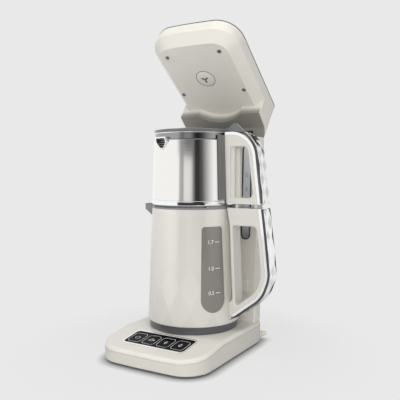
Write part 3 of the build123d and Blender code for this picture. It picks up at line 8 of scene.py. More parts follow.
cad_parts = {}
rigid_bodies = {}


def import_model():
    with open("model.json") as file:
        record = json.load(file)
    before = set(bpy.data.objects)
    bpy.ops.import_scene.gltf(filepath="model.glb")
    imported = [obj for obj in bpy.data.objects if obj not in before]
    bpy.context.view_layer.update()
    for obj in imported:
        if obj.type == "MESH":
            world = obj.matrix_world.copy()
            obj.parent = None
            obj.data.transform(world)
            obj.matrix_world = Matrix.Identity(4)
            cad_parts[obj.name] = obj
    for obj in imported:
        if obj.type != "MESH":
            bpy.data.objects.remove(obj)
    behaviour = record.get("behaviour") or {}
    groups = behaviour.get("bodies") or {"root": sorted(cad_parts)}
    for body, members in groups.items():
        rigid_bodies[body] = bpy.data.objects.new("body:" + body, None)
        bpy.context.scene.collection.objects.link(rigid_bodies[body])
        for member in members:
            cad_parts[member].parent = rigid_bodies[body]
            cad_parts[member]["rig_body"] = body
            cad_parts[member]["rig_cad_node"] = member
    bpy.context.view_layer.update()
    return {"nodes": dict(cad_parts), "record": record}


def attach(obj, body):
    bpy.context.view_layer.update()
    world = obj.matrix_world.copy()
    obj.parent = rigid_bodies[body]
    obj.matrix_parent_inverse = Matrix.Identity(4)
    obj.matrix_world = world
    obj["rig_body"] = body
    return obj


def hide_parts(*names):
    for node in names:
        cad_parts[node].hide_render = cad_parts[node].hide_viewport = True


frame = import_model()
cadNodes = frame["nodes"]
bodies = frame["record"]["behaviour"]["bodies"]
bodyOf = {node: body for body, nodes in bodies.items() for node in nodes}
print("frame loaded:", len(cadNodes), "nodes")


# selection, edit mode and finishing
def deselectAll():
    bpy.ops.object.select_all(action="DESELECT")


def makeActive(piece):
    deselectAll()
    piece.select_set(True)
    bpy.context.view_layer.objects.active = piece


def editAll():
    # edit mode with the whole mesh picked
    bpy.ops.object.mode_set(mode="EDIT")
    bpy.ops.mesh.select_all(action="SELECT")


def leaveEdit():
    bpy.ops.object.mode_set(mode="OBJECT")


def applyModifiers(piece):
    makeActive(piece)
    for name in [modifier.name for modifier in piece.modifiers]:
        bpy.ops.object.modifier_apply(modifier=name)


def applyPlace(piece):
    makeActive(piece)
    bpy.ops.object.transform_apply(location=True, rotation=True, scale=True)


def bevelEdges(piece, width, segments, edgeAngle):
    # bevel the edges that turn by more than the angle, in degrees
    edge = piece.modifiers.new("edge", "BEVEL")
    edge.width = width
    edge.segments = segments
    edge.limit_method = "ANGLE"
    edge.angle_limit = radians(edgeAngle)
    applyModifiers(piece)


def finishPiece(piece, name, body, material, smoothAngle=30):
    # a smoothAngle of 0 leaves the shading as it is
    applyPlace(piece)
    piece.name = name
    piece.data.name = name
    piece.data.materials.clear()
    piece.data.materials.append(material)
    if smoothAngle:
        bpy.ops.object.shade_smooth_by_angle(angle=radians(smoothAngle))
    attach(piece, body)


def joinShapes(shapes):
    deselectAll()
    for shape in shapes:
        shape.select_set(True)
    bpy.context.view_layer.objects.active = shapes[0]
    bpy.ops.object.join()
    return bpy.context.active_object


# shader node helpers
def feed(tree, socket, value):
    # a socket takes a plain number or colour, or another node's output
    if isinstance(value, (int, float, tuple)):
        socket.default_value = value
    else:
        tree.links.new(value, socket)


def feedNode(tree, node, values):
    for label, value in values.items():
        feed(tree, node.inputs[label], value)


def addNode(tree, kind, **settings):
    node = tree.nodes.new(kind)
    for key, value in settings.items():
        setattr(node, key, value)
    return node


def mathNode(tree, operation, *values):
    node = addNode(tree, "ShaderNodeMath", operation=operation)
    for socket, value in zip(node.inputs, values):
        feed(tree, socket, value)
    return node.outputs[0]


def rangeNode(tree, value, low, high, lowResult=0.0, highResult=1.0):
    # a soft step from lowResult to highResult
    node = addNode(tree, "ShaderNodeMapRange", interpolation_type="SMOOTHSTEP")
    feedNode(tree, node, {"Value": value, "From Min": low, "From Max": high,
                          "To Min": lowResult, "To Max": highResult})
    return node.outputs["Result"]


def mixColour(tree, factor, first, second):
    node = addNode(tree, "ShaderNodeMix", data_type="RGBA")
    # a mix node has its factor at 0 and its two colours at 6 and 7
    for index, value in ((0, factor), (6, first), (7, second)):
        feed(tree, node.inputs[index], value)
    return node.outputs[2]


def mixShader(tree, factor, first, second):
    node = addNode(tree, "ShaderNodeMixShader")
    for socket, value in zip(node.inputs, (factor, first, second)):
        feed(tree, socket, value)
    return node.outputs[0]


def objectPlace(tree):
    split = addNode(tree, "ShaderNodeSeparateXYZ")
    feed(tree, split.inputs[0], addNode(tree, "ShaderNodeTexCoord").outputs["Object"])
    return split.outputs


# shader groups: the grain and the polish lines that the finishes share
texture = {
    "grainDetail": 3, "broadDetail": 2, "broadScale": 14.0,
    "lineDetail": 4, "lineStretch": 0.02,
    "reliefDepth": 0.0004,  # metres
}
numberSocket = "NodeSocketFloat"
colourSocket = "NodeSocketColor"
finishInputs = [
    ("Colour", colourSocket, (0.8, 0.8, 0.8, 1)), ("Roughness", numberSocket, 0.4),
    ("Scale", numberSocket, 900.0), ("Unevenness", numberSocket, 0.05),
    ("Shade", numberSocket, 0.05),
]
finishOutputs = [("Colour", colourSocket), ("Roughness", numberSocket), ("Height", numberSocket)]


def newGroup(name, inputs, outputs):
    tree = bpy.data.node_groups.new(name, "ShaderNodeTree")
    for label, kind, value in inputs:
        socket = tree.interface.new_socket(name=label, in_out="INPUT", socket_type=kind)
        socket.default_value = value
    for label, kind in outputs:
        tree.interface.new_socket(name=label, in_out="OUTPUT", socket_type=kind)
    given = addNode(tree, "NodeGroupInput").outputs
    out = addNode(tree, "NodeGroupOutput").inputs
    return tree, given, out


def noiseNode(tree, place, scale, detail):
    # noise between 0 and 1
    node = addNode(tree, "ShaderNodeTexNoise")
    feedNode(tree, node, {"Vector": place, "Scale": scale, "Detail": detail})
    return node.outputs["Fac"]


def putOut(tree, given, out, tone, shine, height):
    # tone and shine lie about 0: one brightens the colour, the other roughens the surface
    brightness = mathNode(tree, "MULTIPLY_ADD", tone, given["Shade"], 1.0)
    tinted = addNode(tree, "ShaderNodeVectorMath", operation="SCALE")
    feed(tree, tinted.inputs[0], given["Colour"])
    feed(tree, tinted.inputs["Scale"], brightness)
    roughness = mathNode(tree, "MULTIPLY_ADD", shine, given["Unevenness"], given["Roughness"])
    feed(tree, out["Colour"], tinted.outputs[0])
    feed(tree, out["Roughness"], roughness)
    feed(tree, out["Height"], height)


def mouldedGroup():
    # fine moulding grain over a slow change of tone and gloss
    tree, given, out = newGroup("mouldedSurface", finishInputs, finishOutputs)
    place = addNode(tree, "ShaderNodeTexCoord").outputs["Object"]
    grain = noiseNode(tree, place, given["Scale"], texture["grainDetail"])
    broad = noiseNode(tree, place, texture["broadScale"], texture["broadDetail"])
    tone = mathNode(tree, "SUBTRACT", broad, 0.5)
    shine = mathNode(tree, "ADD", tone, mathNode(tree, "SUBTRACT", grain, 0.5))
    putOut(tree, given, out, tone, shine, grain)
    return tree


def turnedGroup():
    # fine lines left by turning and polishing, running round the upright axis
    tree, given, out = newGroup("turnedLines", finishInputs, finishOutputs)
    place = objectPlace(tree)
    stretched = addNode(tree, "ShaderNodeCombineXYZ")
    for axis in (0, 1):
        squeezed = mathNode(tree, "MULTIPLY", place[axis], texture["lineStretch"])
        feed(tree, stretched.inputs[axis], squeezed)
    feed(tree, stretched.inputs[2], place[2])
    lines = noiseNode(tree, stretched.outputs[0], given["Scale"], texture["lineDetail"])
    tone = mathNode(tree, "SUBTRACT", lines, 0.5)
    putOut(tree, given, out, tone, tone, lines)
    return tree


def facetGroup():
    # flat diamonds, each tilted another way and each with one of three painted shade tones for
    # the light on its tilt
    tree, given, out = newGroup(
        "diamondFacets",
        [("Across", numberSocket, 0.0), ("Along", numberSocket, 0.0),
         ("Width", numberSocket, 0.02), ("Length", numberSocket, 0.04)],
        [("Height", numberSocket), ("PaintedFacetShade", numberSocket)],
    )
    across = mathNode(tree, "DIVIDE", given["Across"], given["Width"])
    along = mathNode(tree, "DIVIDE", given["Along"], given["Length"])
    rising = mathNode(tree, "ADD", across, along)
    falling = mathNode(tree, "SUBTRACT", across, along)
    waves = [mathNode(tree, "PINGPONG", line, 1.0) for line in (rising, falling)]
    feed(tree, out["Height"], mathNode(tree, "MULTIPLY", mathNode(tree, "ADD", *waves), 0.5))
    steps = [mathNode(tree, "FLOOR", line) for line in (rising, falling)]
    count = mathNode(tree, "MULTIPLY_ADD", steps[0], 2.0, steps[1])
    third = mathNode(tree, "FLOORED_MODULO", count, 3.0)
    feed(tree, out["PaintedFacetShade"], mathNode(tree, "DIVIDE", third, 2.0))
    return tree


groups = {"moulded": mouldedGroup(), "turned": turnedGroup(), "facets": facetGroup()}


# finishes
def surface(name, base, roughness, group="moulded", scale=900.0, uneven=0.05, shade=0.04,
            bump=0.03, metallic=0.0, coat=0.0, coatRoughness=0.1, specular=0.5, ior=1.5):
    material = bpy.data.materials.new(name)
    material.use_nodes = True
    tree = material.node_tree
    detail = addNode(tree, "ShaderNodeGroup")
    detail.node_tree = groups[group]
    feedNode(tree, detail, {"Colour": (*base, 1), "Roughness": roughness, "Scale": scale,
                            "Unevenness": uneven, "Shade": shade})
    relief = addNode(tree, "ShaderNodeBump", name="grainRelief")
    feedNode(tree, relief, {"Strength": bump, "Distance": texture["reliefDepth"],
                            "Height": detail.outputs["Height"]})
    feedNode(tree, tree.nodes["Principled BSDF"], {
        "Base Color": detail.outputs["Colour"], "Roughness": detail.outputs["Roughness"],
        "Normal": relief.outputs[0], "Metallic": metallic, "Coat Weight": coat,
        "Coat Roughness": coatRoughness, "Specular IOR Level": specular, "IOR": ior,
    })
    return material


# each finish: its material's name, colour and roughness, then what sets it apart
finishes = {
    # plastics and enamel
    "ivory": surface("ivoryPlastic", (0.76, 0.735, 0.675), 0.38,
                     scale=1400, bump=0.04, coat=0.15),
    # a copy of the ivory that carries the painted shade of the neck
    "ivoryHeadShaded": surface("ivoryHeadPaintedShade", (0.76, 0.735, 0.675), 0.38,
                         scale=1400, bump=0.04, coat=0.15),
    # painted shade: a darker copy of the ivory for the base skirt, whose front stands in less
    # light than the top
    "ivorySkirtShaded": surface("ivorySkirtPaintedShade", (0.64, 0.62, 0.57), 0.38,
                          scale=1400, bump=0.04, coat=0.15),
    # painted shade: a darker copy of the ivory for the handles, whose faces lie in shade
    "ivoryHandleShaded": surface("ivoryHandlePaintedShade", (0.62, 0.605, 0.56), 0.34,
                           scale=1400, bump=0.04, coat=0.2),
    "pearl": surface("pearlEnamel", (0.75, 0.73, 0.68), 0.30,
                     scale=2200, bump=0.02, metallic=0.4, coat=0.3, coatRoughness=0.12),
    "midGrey": surface("midGreyPlastic", (0.23, 0.23, 0.235), 0.32, scale=1500),
    "lidGrey": surface("lidGreyPlastic", (0.125, 0.125, 0.13), 0.30, scale=1500, coat=0.7),
    "mountGrey": surface("mountGreyPlastic", (0.15, 0.15, 0.15), 0.32, scale=1500, coat=0.2),
    "darkGrey": surface("darkGreyPlastic", (0.085, 0.085, 0.095), 0.30, scale=1600, coat=0.2),
    # dark trim plastic, also laid on the chrome bands' sideways faces as a painted dark
    # reflection
    "darkTrimAndPaintedReflection": surface("darkTrimPlasticAndPaintedReflection", (0.05, 0.05, 0.05), 0.35, scale=1600),
    "blackPlastic": surface("blackPlastic", (0.025, 0.025, 0.025), 0.4, scale=1200, bump=0.06),
    "rubber": surface("footRubber", (0.03, 0.03, 0.03), 0.8, scale=700, bump=0.2, specular=0.3),
    "tube": surface("siliconeTube", (0.62, 0.62, 0.58), 0.5, scale=800, bump=0.05),
    "board": surface("boardGreen", (0.03, 0.16, 0.07), 0.45, scale=300, shade=0.3, bump=0.1),
    # metals
    "steel": surface("polishedSteel", (0.89, 0.875, 0.85), 0.07, "turned",
                     scale=1100, uneven=0.04, shade=0.05, bump=0.015, metallic=1.0),
    "neckSteel": surface("neckSteel", (0.34, 0.34, 0.345), 0.16, "turned",
                         scale=1100, uneven=0.05, shade=0.06, bump=0.02, metallic=1.0),
    "liner": surface("linerSteel", (0.62, 0.62, 0.62), 0.28, "turned",
                     scale=700, uneven=0.08, shade=0.08, bump=0.05, metallic=1.0),
    "darkSteel": surface("darkSteel", (0.16, 0.16, 0.165), 0.3, "turned",
                         scale=900, uneven=0.06, shade=0.1, bump=0.05, metallic=0.9),
    "brass": surface("contactBrass", (0.72, 0.52, 0.2), 0.25, "turned",
                     scale=600, uneven=0.06, shade=0.1, bump=0.04, metallic=1.0),
    "chrome": surface("brightChrome", (0.92, 0.92, 0.925), 0.06,
                      scale=500, uneven=0.02, shade=0.02, bump=0.01, metallic=1.0),
    "cutChrome": surface("cutChrome", (0.90, 0.90, 0.905), 0.08,
                         scale=500, uneven=0.02, shade=0.02, bump=0.01, metallic=1.0),
    # glass and clear plastic
    "blackGloss": surface("blackGlass", (0.006, 0.006, 0.007), 0.12,
                          scale=300, uneven=0.02, bump=0.004, ior=1.10),
    "smoky": surface("smokyWindow", (0.20, 0.19, 0.172), 0.16,
                     scale=500, bump=0.005, coat=0.5, coatRoughness=0.05),
    "stripGlass": surface("stripGlass", (0.78, 0.80, 0.85), 0.18,
                          scale=500, bump=0.005, coat=0.4),
    # printed marks
    "paleMark": surface("paleMark", (0.72, 0.72, 0.72), 0.5),
    "softMark": surface("softMark", (0.30, 0.31, 0.32), 0.5),
    "windowMark": surface("windowMark", (0.80, 0.79, 0.76), 0.5),
}


def tintBase(material, mask, tone):
    # lay another tone over a finish where the mask is 1
    tree = material.node_tree
    base = tree.nodes["Principled BSDF"].inputs["Base Color"]
    plain = base.links[0].from_socket
    feed(tree, base, mixColour(tree, mask, plain, tone))


def addFacets(material, across, along, cut):
    # cut diamonds into a finish: across and along are sockets in metres; gives back their
    # painted shade tones
    tree = material.node_tree
    facets = addNode(tree, "ShaderNodeGroup")
    facets.node_tree = groups["facets"]
    width, length = cut["size"]
    feedNode(tree, facets, {"Across": across, "Along": along, "Width": width, "Length": length})
    strength = rangeNode(tree, along, *cut["fade"])
    relief = addNode(tree, "ShaderNodeBump")
    height = mathNode(tree, "MULTIPLY", facets.outputs["Height"], strength)
    feedNode(tree, relief, {"Distance": cut["depth"], "Height": height})
    feed(tree, tree.nodes["grainRelief"].inputs["Normal"], relief.outputs[0])
    return mathNode(tree, "MULTIPLY", facets.outputs["PaintedFacetShade"], strength)


# wide, shallow diamonds on the kettle's jacket, which fade out upwards, each with a painted
# shade tone
jacketFacets = {
    "radius": 0.0723, "size": (0.034, 0.074), "depth": 0.0016, "fade": (0.165, 0.085),
    # share and tone set the painted shade laid over the diamonds
    "share": 0.16, "tone": (0.40, 0.385, 0.36, 1),
}


def cutJacket():
    tree = finishes["pearl"].node_tree
    place = objectPlace(tree)
    backwards = mathNode(tree, "MULTIPLY", place[1], -1.0)
    turn = mathNode(tree, "ARCTAN2", place[0], backwards)
    around = mathNode(tree, "MULTIPLY", turn, jacketFacets["radius"])
    tone = addFacets(finishes["pearl"], around, place[2], jacketFacets)
    # painted shade: darken each diamond by its tone
    mask = mathNode(tree, "MULTIPLY", tone, jacketFacets["share"])
    tintBase(finishes["pearl"], mask, jacketFacets["tone"])


# painted shade: the hollow neck under the head is darkened to the shade it lies in, darker than
# its outer walls
neckPaintedShade = {
    # y and z of the frame's origin, turned with the head as that opens
    "origin": (-0.1969, 0.1422), "openAngle": 38.0,
    # rise and side bound the painted shade, and tone is its colour
    "rise": (0.372, 0.386), "side": (0.0785, 0.0800), "tone": (0.25, 0.245, 0.215, 1),
}


def paintNeckShade():
    # rise is the height that a spot has with the head shut
    tree = finishes["ivoryHeadShaded"].node_tree
    place = objectPlace(tree)
    openTurn = radians(neckPaintedShade["openAngle"])
    back = mathNode(tree, "SUBTRACT", place[1], neckPaintedShade["origin"][0])
    up = mathNode(tree, "SUBTRACT", place[2], neckPaintedShade["origin"][1])
    back = mathNode(tree, "MULTIPLY", back, sin(openTurn))
    rise = mathNode(tree, "MULTIPLY_ADD", up, cos(openTurn), back)
    low = rangeNode(tree, rise, *neckPaintedShade["rise"], 1.0, 0.0)
    side = mathNode(tree, "ABSOLUTE", place[0])
    inside = rangeNode(tree, side, *neckPaintedShade["side"], 1.0, 0.0)
    mask = mathNode(tree, "MULTIPLY", low, inside)
    # lay the painted neck shade over the head's ivory
    tintBase(finishes["ivoryHeadShaded"], mask, neckPaintedShade["tone"])


# the sight strip is darker towards its foot
stripFade = {"rise": (0.180, 0.215), "tone": (0.26, 0.265, 0.28, 1)}


def fadeStrip():
    tree = finishes["stripGlass"].node_tree
    low = rangeNode(tree, objectPlace(tree)[2], *stripFade["rise"], 1.0, 0.0)
    tintBase(finishes["stripGlass"], low, stripFade["tone"])


cutJacket()
paintNeckShade()
fadeStrip()

nodeFinish = {
    "ivorySkirtShaded": ["base_skirt"],
    "ivory": ["base_cover", "column_front", "column_back", "column_cap", "head_cover",
              "water_port", "cord_gland", "water_outlet"],
    "ivoryHeadShaded": ["head_lower"],
    "ivoryHandleShaded": ["kettle_handle", "teapot_handle"],
    "pearl": ["kettle_jacket"],
    "midGrey": ["kettle_collar", "kettle_beak"],
    "lidGrey": ["teapot_lid", "lid_tab"],
    "mountGrey": ["handle_mount", "plate_screws"],
    "darkGrey": ["kettle_ring", "base_plate", "power_dock"],
    "darkTrimAndPaintedReflection": ["head_trim", "strip_border"],
    "rubber": ["rubber_feet"],
    "steel": ["pot_body"],
    "neckSteel": ["pot_neck"],
    "liner": ["kettle_liner", "tea_basket", "base_screws", "column_screws", "hinge_pin",
              "kettle_heater"],
    "chrome": ["panel_bezel", "kettle_trim", "teapot_trim", "pot_ring", "pot_rim", "pot_spout"],
    "cutChrome": ["kettle_band", "teapot_band"],
    "darkSteel": ["pot_strainer"],
    "blackGloss": ["key_plate", "touch_key_1", "touch_key_2", "touch_key_3", "touch_key_4"],
    "smoky": ["kettle_window"],
    "stripGlass": ["strip_lens"],
    "board": ["key_board", "power_board"],
    "blackPlastic": ["water_pump", "hinge_bracket", "hinge_knuckles", "kettle_bottom"],
    "tube": ["riser_tube", "feed_tube"],
    "brass": ["dock_contacts"],
}
for finish, names in nodeFinish.items():
    for name in names:
        cadNodes[name].material_slots[0].material = finishes[finish]
print("finishes set:", len(finishes))

# pieces that stand for a plain solid of the frame
mergeDistance = 0.000002


def copyNode(nodeName):
    # a merged copy of a solid's mesh, free of the frame's own marks
    node = cadNodes[nodeName]
    makeActive(node)
    bpy.ops.object.duplicate()
    piece = bpy.context.active_object
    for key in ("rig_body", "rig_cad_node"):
        if key in piece:
            del piece[key]
    piece.parent = None
    bpy.ops.mesh.customdata_custom_splitnormals_clear()
    editAll()
    bpy.ops.mesh.remove_doubles(threshold=mergeDistance)
    leaveEdit()
    return piece


# the chrome bands of the handles are cut into diamonds, each a flat face tilted another way
bandCut = {
    "width": 0.013, "length": 0.020, "depth": 0.0012,
    "edge": 0.0010, "edgeSegments": 1, "edgeAngle": 60,
    "frontLimit": 0.5,  # a face that looks less far sideways is cut
    # sideways faces take the dark trim finish, a painted dark reflection on the chrome
    "sideLimit": 0.9,  # one that looks further sideways is dark
    "bands": {
        "kettle_band": {"middle": (0.095, 0.150), "lean": -15.0},
        "teapot_band": {"middle": (0.090, 0.285), "lean": 20.0},
    },
}


def outwardFaces(piece, middle):
    # faces that look away from the middle of the handle's opening
    found = []
    for face in piece.data.polygons:
        away = Vector((face.center.x - middle[0], face.center.z - middle[1]))
        outward = face.normal.x * away.x + face.normal.z * away.y
        if abs(face.normal.y) < bandCut["frontLimit"] and outward > 0:
            found.append(face)
    return found


def diamondHeight(place, directions):
    # 0 at the lowest corner of a diamond and 1 at its highest
    total = 0.0
    for direction in directions:
        part = place.dot(direction) % 2.0
        total += 1 - abs(part - 1)
    return total / 2


def cutLines(piece, direction):
    # cut edges across the whole piece, one diamond's step apart
    reach = [vertex.co.dot(direction) for vertex in piece.data.vertices]
    for line in range(int(min(reach)), int(max(reach)) + 2):
        editAll()
        bpy.ops.mesh.bisect(plane_co=direction * (line / direction.length_squared),
                            plane_no=direction.normalized())
        leaveEdit()


def sinkDiamonds(piece, middle, directions):
    # push the outward faces' corners in, least at the top of each diamond
    push = {}
    for face in outwardFaces(piece, middle):
        flat = Vector((face.normal.x, 0, face.normal.z)).normalized()
        for index in face.vertices:
            push[index] = push.get(index, Vector()) + flat * face.area
    for index, way in push.items():
        vertex = piece.data.vertices[index]
        sink = bandCut["depth"] * (1 - diamondHeight(vertex.co, directions))
        vertex.co -= way.normalized() * sink


def cutBand(nodeName):
    band = bandCut["bands"][nodeName]
    lean = radians(band["lean"])
    piece = copyNode(nodeName)
    bevelEdges(piece, bandCut["edge"], bandCut["edgeSegments"], bandCut["edgeAngle"])
    directions = [
        Vector((-sin(lean) / bandCut["length"], side / bandCut["width"],
                cos(lean) / bandCut["length"]))
        for side in (1, -1)
    ]
    for direction in directions:
        cutLines(piece, direction)
    sinkDiamonds(piece, band["middle"], directions)
    finishPiece(piece, nodeName + "_cut", bodyOf[nodeName],
                finishes["cutChrome"], smoothAngle=0)
    bpy.ops.object.shade_flat()
    # painted reflection: the band's sideways faces get the dark trim finish
    piece.data.materials.append(finishes["darkTrimAndPaintedReflection"])
    for face in piece.data.polygons:
        face.material_index = 1 if abs(face.normal.y) > bandCut["sideLimit"] else 0
    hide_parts(nodeName)


for bandName in bandCut["bands"]:
    cutBand(bandName)
print("handle bands cut")

# chrome rings whose edges are rounded over
rounding = {
    "rings": ["panel_bezel", "pot_ring"],
    "width": 0.0006, "segments": 3, "flatAngle": 0.5, "edgeAngle": 45, "smoothAngle": 40,
}


def roundNode(nodeName):
    piece = copyNode(nodeName)
    editAll()
    bpy.ops.mesh.dissolve_limited(angle_limit=radians(rounding["flatAngle"]))
    leaveEdit()
    bevelEdges(piece, rounding["width"], rounding["segments"], rounding["edgeAngle"])
    finishPiece(piece, nodeName + "_rounded", bodyOf[nodeName],
                finishes["chrome"], smoothAngle=rounding["smoothAngle"])
    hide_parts(nodeName)


for ringName in rounding["rings"]:
    roundNode(ringName)
print("chrome rings rounded")

# flat shapes for signs and marks, drawn about the origin facing up
drawing = {
    "ringSteps": 32, "cornerSteps": 6, "endSteps": 3, "endRound": 0.45,
    # where a pulled ring's tip and shoulders begin, and how far the shoulders follow the tip
    "tip": 0.99, "shoulder": 0.9, "shoulderShare": 0.35,
}


def selectWhere(piece, test):
    # pick vertices by their place and stay in edit mode
    bpy.ops.object.mode_set(mode="EDIT")
    bpy.ops.mesh.select_mode(type="VERT")
    bpy.ops.mesh.select_all(action="DESELECT")
    leaveEdit()
    for vertex in piece.data.vertices:
        vertex.select = test(vertex.co)
    bpy.ops.object.mode_set(mode="EDIT")


def placeFlat(shape, centre, turn=0.0):
    spot = Matrix.Translation((centre[0], centre[1], 0))
    shape.matrix_world = spot @ Matrix.Rotation(radians(turn), 4, "Z")
    applyPlace(shape)


def hollowFace(line):
    # leave only a line of the given width round the face
    editAll()
    bpy.ops.mesh.inset(thickness=line)
    bpy.ops.mesh.delete(type="FACE")
    leaveEdit()


def roundedPlate(width, depth, corner, steps):
    deselectAll()
    bpy.ops.mesh.primitive_plane_add(size=1)
    plate = bpy.context.active_object
    plate.scale = (width, depth, 1)
    applyPlace(plate)
    editAll()
    bpy.ops.mesh.bevel(offset=corner, segments=steps, affect="VERTICES")
    leaveEdit()
    return plate


def roundedFrame(width, depth, corner, line, centre=(0, 0)):
    outline = roundedPlate(width, depth, corner, drawing["cornerSteps"])
    hollowFace(line)
    placeFlat(outline, centre)
    return outline


def barShape(width, depth, centre=(0, 0), turn=0.0):
    # a short stroke with rounded ends
    corner = drawing["endRound"] * min(width, depth)
    bar = roundedPlate(width, depth, corner, drawing["endSteps"])
    placeFlat(bar, centre, turn)
    return bar


def liftTop(ring, low, high, lift):
    # move a ring's vertices that lie between two heights
    selectWhere(ring, lambda place: low < place.y < high)
    bpy.ops.transform.translate(value=(0, lift, 0))
    leaveEdit()


def ringShape(radius, line, centre=(0, 0), pull=0.0, squeeze=1.0, gap=0.0):
    # a ring; pull lifts its top to a point, gap opens its top by that angle to each side
    deselectAll()
    bpy.ops.mesh.primitive_circle_add(vertices=drawing["ringSteps"], radius=radius,
                                      fill_type="NGON")
    ring = bpy.context.active_object
    ring.scale = (squeeze, 1, 1)
    applyPlace(ring)
    if pull:
        tip = radius * drawing["tip"]
        liftTop(ring, tip, inf, pull * radius)
        liftTop(ring, radius * drawing["shoulder"], tip,
                drawing["shoulderShare"] * pull * radius)
    hollowFace(line)
    if gap:
        selectWhere(ring, lambda place: place.y > 0
                    and abs(atan2(place.x, place.y)) < radians(gap))
        bpy.ops.mesh.delete(type="VERT")
        leaveEdit()
    placeFlat(ring, centre)
    return ring


def thicken(piece, depth):
    skin = piece.modifiers.new("skin", "SOLIDIFY")
    skin.thickness = depth
    skin.offset = 1
    applyModifiers(piece)
    editAll()
    bpy.ops.mesh.normals_make_consistent(inside=False)
    leaveEdit()


# signs, whose measures are shares of their size
def powerSign(size, stroke):
    return [ringShape(size, stroke, gap=32), barShape(stroke, size, (0, 0.75 * size))]


def cupSign(size, stroke):
    cup = roundedFrame(1.7 * size, 1.3 * size, 0.45 * size, stroke, (-0.15 * size, -0.2 * size))
    ear = ringShape(0.42 * size, stroke, (0.95 * size, -0.1 * size))
    cover = barShape(1.1 * size, stroke, (-0.15 * size, 0.95 * size))
    return [cup, ear, cover]


def leafSign(size, stroke):
    leaf = ringShape(0.8 * size, stroke, pull=0.7, squeeze=0.6)
    return [leaf, barShape(stroke, 1.5 * size, (0, -0.5 * size))]


def dropSign(size, stroke):
    drop = ringShape(0.8 * size, stroke, (0, -0.2 * size), pull=0.9, squeeze=0.8)
    return [drop, barShape(0.5 * size, stroke, (0, -0.5 * size))]


# key signs: a light line round each key and a plain sign on it
panel = {
    "middle": (0, -0.1005, 0.03261), "tilt": 8.07,
    "keyPitch": 0.0263, "keyMiddle": -0.002, "proud": 0.0008,
}
keySign = {
    "signs": [powerSign, cupSign, leafSign, dropSign],
    "width": 0.0226, "depth": 0.0292, "corner": 0.0062, "line": 0.0006,
    "stroke": 0.0007, "size": 0.0042, "lift": 0.00002, "skin": 0.0001,
}


def addKeySigns():
    onPanel = (Matrix.Translation(panel["middle"])
               @ Matrix.Rotation(radians(panel["tilt"]), 4, "X"))
    height = panel["proud"] + keySign["lift"]
    middle = (len(keySign["signs"]) + 1) / 2
    for number, sign in enumerate(keySign["signs"], start=1):
        outline = roundedFrame(keySign["width"], keySign["depth"], keySign["corner"],
                               keySign["line"])
        piece = joinShapes([outline, *sign(keySign["size"], keySign["stroke"])])
        thicken(piece, keySign["skin"])
        across = panel["keyPitch"] * (number - middle)
        piece.matrix_world = onPanel @ Matrix.Translation((across, panel["keyMiddle"], height))
        finishPiece(piece, f"key_sign_{number}", bodyOf[f"touch_key_{number}"],
                    finishes["paleMark"])


addKeySigns()
print("key signs drawn")

# level marks on the kettle's window
kettle = {
    "footRadius": 0.076, "topRadius": 0.0686, "foot": 0.0496, "top": 0.2323,
    "windowTurn": -34.0, "windowProud": 0.0005,
}
levelMarks = {
    "levels": [("1.7", 0.1818), ("1.0", 0.1406), ("0.5", 0.1025)],
    "textSize": 0.0085, "textSide": -0.0035, "textSteps": 4,
    "dash": (0.0085, 0.0009), "dashSide": 0.0085, "lift": 0.00012,
}


def windowPlace(height):
    # the spot on the jacket's cone in the middle of the window, facing outwards
    tall = kettle["top"] - kettle["foot"]
    share = (height - kettle["foot"]) / tall
    radius = kettle["footRadius"] + share * (kettle["topRadius"] - kettle["footRadius"])
    lean = atan2(kettle["footRadius"] - kettle["topRadius"], tall)
    spin = Matrix.Rotation(radians(kettle["windowTurn"]) + pi / 2, 4, "Z")
    spot = Matrix.Translation((0, -radius - kettle["windowProud"], height))
    return spin @ spot @ Matrix.Rotation(pi / 2 - lean, 4, "X")


def textShape(text, size, centre):
    deselectAll()
    bpy.ops.object.text_add(location=(centre[0], centre[1], 0))
    words = bpy.context.active_object
    words.data.body = text
    words.data.size = size
    words.data.align_x = "CENTER"
    words.data.align_y = "CENTER"
    words.data.resolution_u = levelMarks["textSteps"]
    bpy.ops.object.convert(target="MESH")
    words = bpy.context.active_object
    applyPlace(words)
    return words


def wrapOn(piece, nodeName, lift):
    wrap = piece.modifiers.new("wrap", "SHRINKWRAP")
    wrap.target = cadNodes[nodeName]
    wrap.wrap_method = "NEAREST_SURFACEPOINT"
    wrap.wrap_mode = "ABOVE_SURFACE"
    wrap.offset = lift
    applyModifiers(piece)


def addLevelMarks():
    for number, (text, height) in enumerate(levelMarks["levels"], start=1):
        words = textShape(text, levelMarks["textSize"], (levelMarks["textSide"], 0))
        dash = barShape(*levelMarks["dash"], (levelMarks["dashSide"], 0))
        piece = joinShapes([words, dash])
        piece.matrix_world = windowPlace(height)
        applyPlace(piece)
        wrapOn(piece, "kettle_window", levelMarks["lift"])
        finishPiece(piece, f"level_mark_{number}", bodyOf["kettle_window"],
                    finishes["windowMark"], smoothAngle=0)


addLevelMarks()
print("level marks drawn")

# signs on the sight strip, which leans back with the column
column = {"front": 0.054, "deck": 0.0375, "lean": 2.565, "strip": 0.066}
stripSign = {
    "signs": [(dropSign, 0.286), (leafSign, 0.262)],
    "size": 0.0036, "stroke": 0.0006, "lift": 0.00005, "sink": 0.0002, "skin": 0.0001,
}


def addStripSigns():
    onColumn = (Matrix.Translation((column["strip"], column["front"], column["deck"]))
                @ Matrix.Rotation(pi / 2 - radians(column["lean"]), 4, "X"))
    for number, (sign, height) in enumerate(stripSign["signs"], start=1):
        piece = joinShapes(sign(stripSign["size"], stripSign["stroke"]))
        thicken(piece, stripSign["skin"])
        spot = (0, height - column["deck"], stripSign["lift"] - stripSign["sink"])
        piece.matrix_world = onColumn @ Matrix.Translation(spot)
        finishPiece(piece, f"strip_sign_{number}", bodyOf["strip_lens"],
                    finishes["softMark"])


addStripSigns()
print("strip signs drawn")

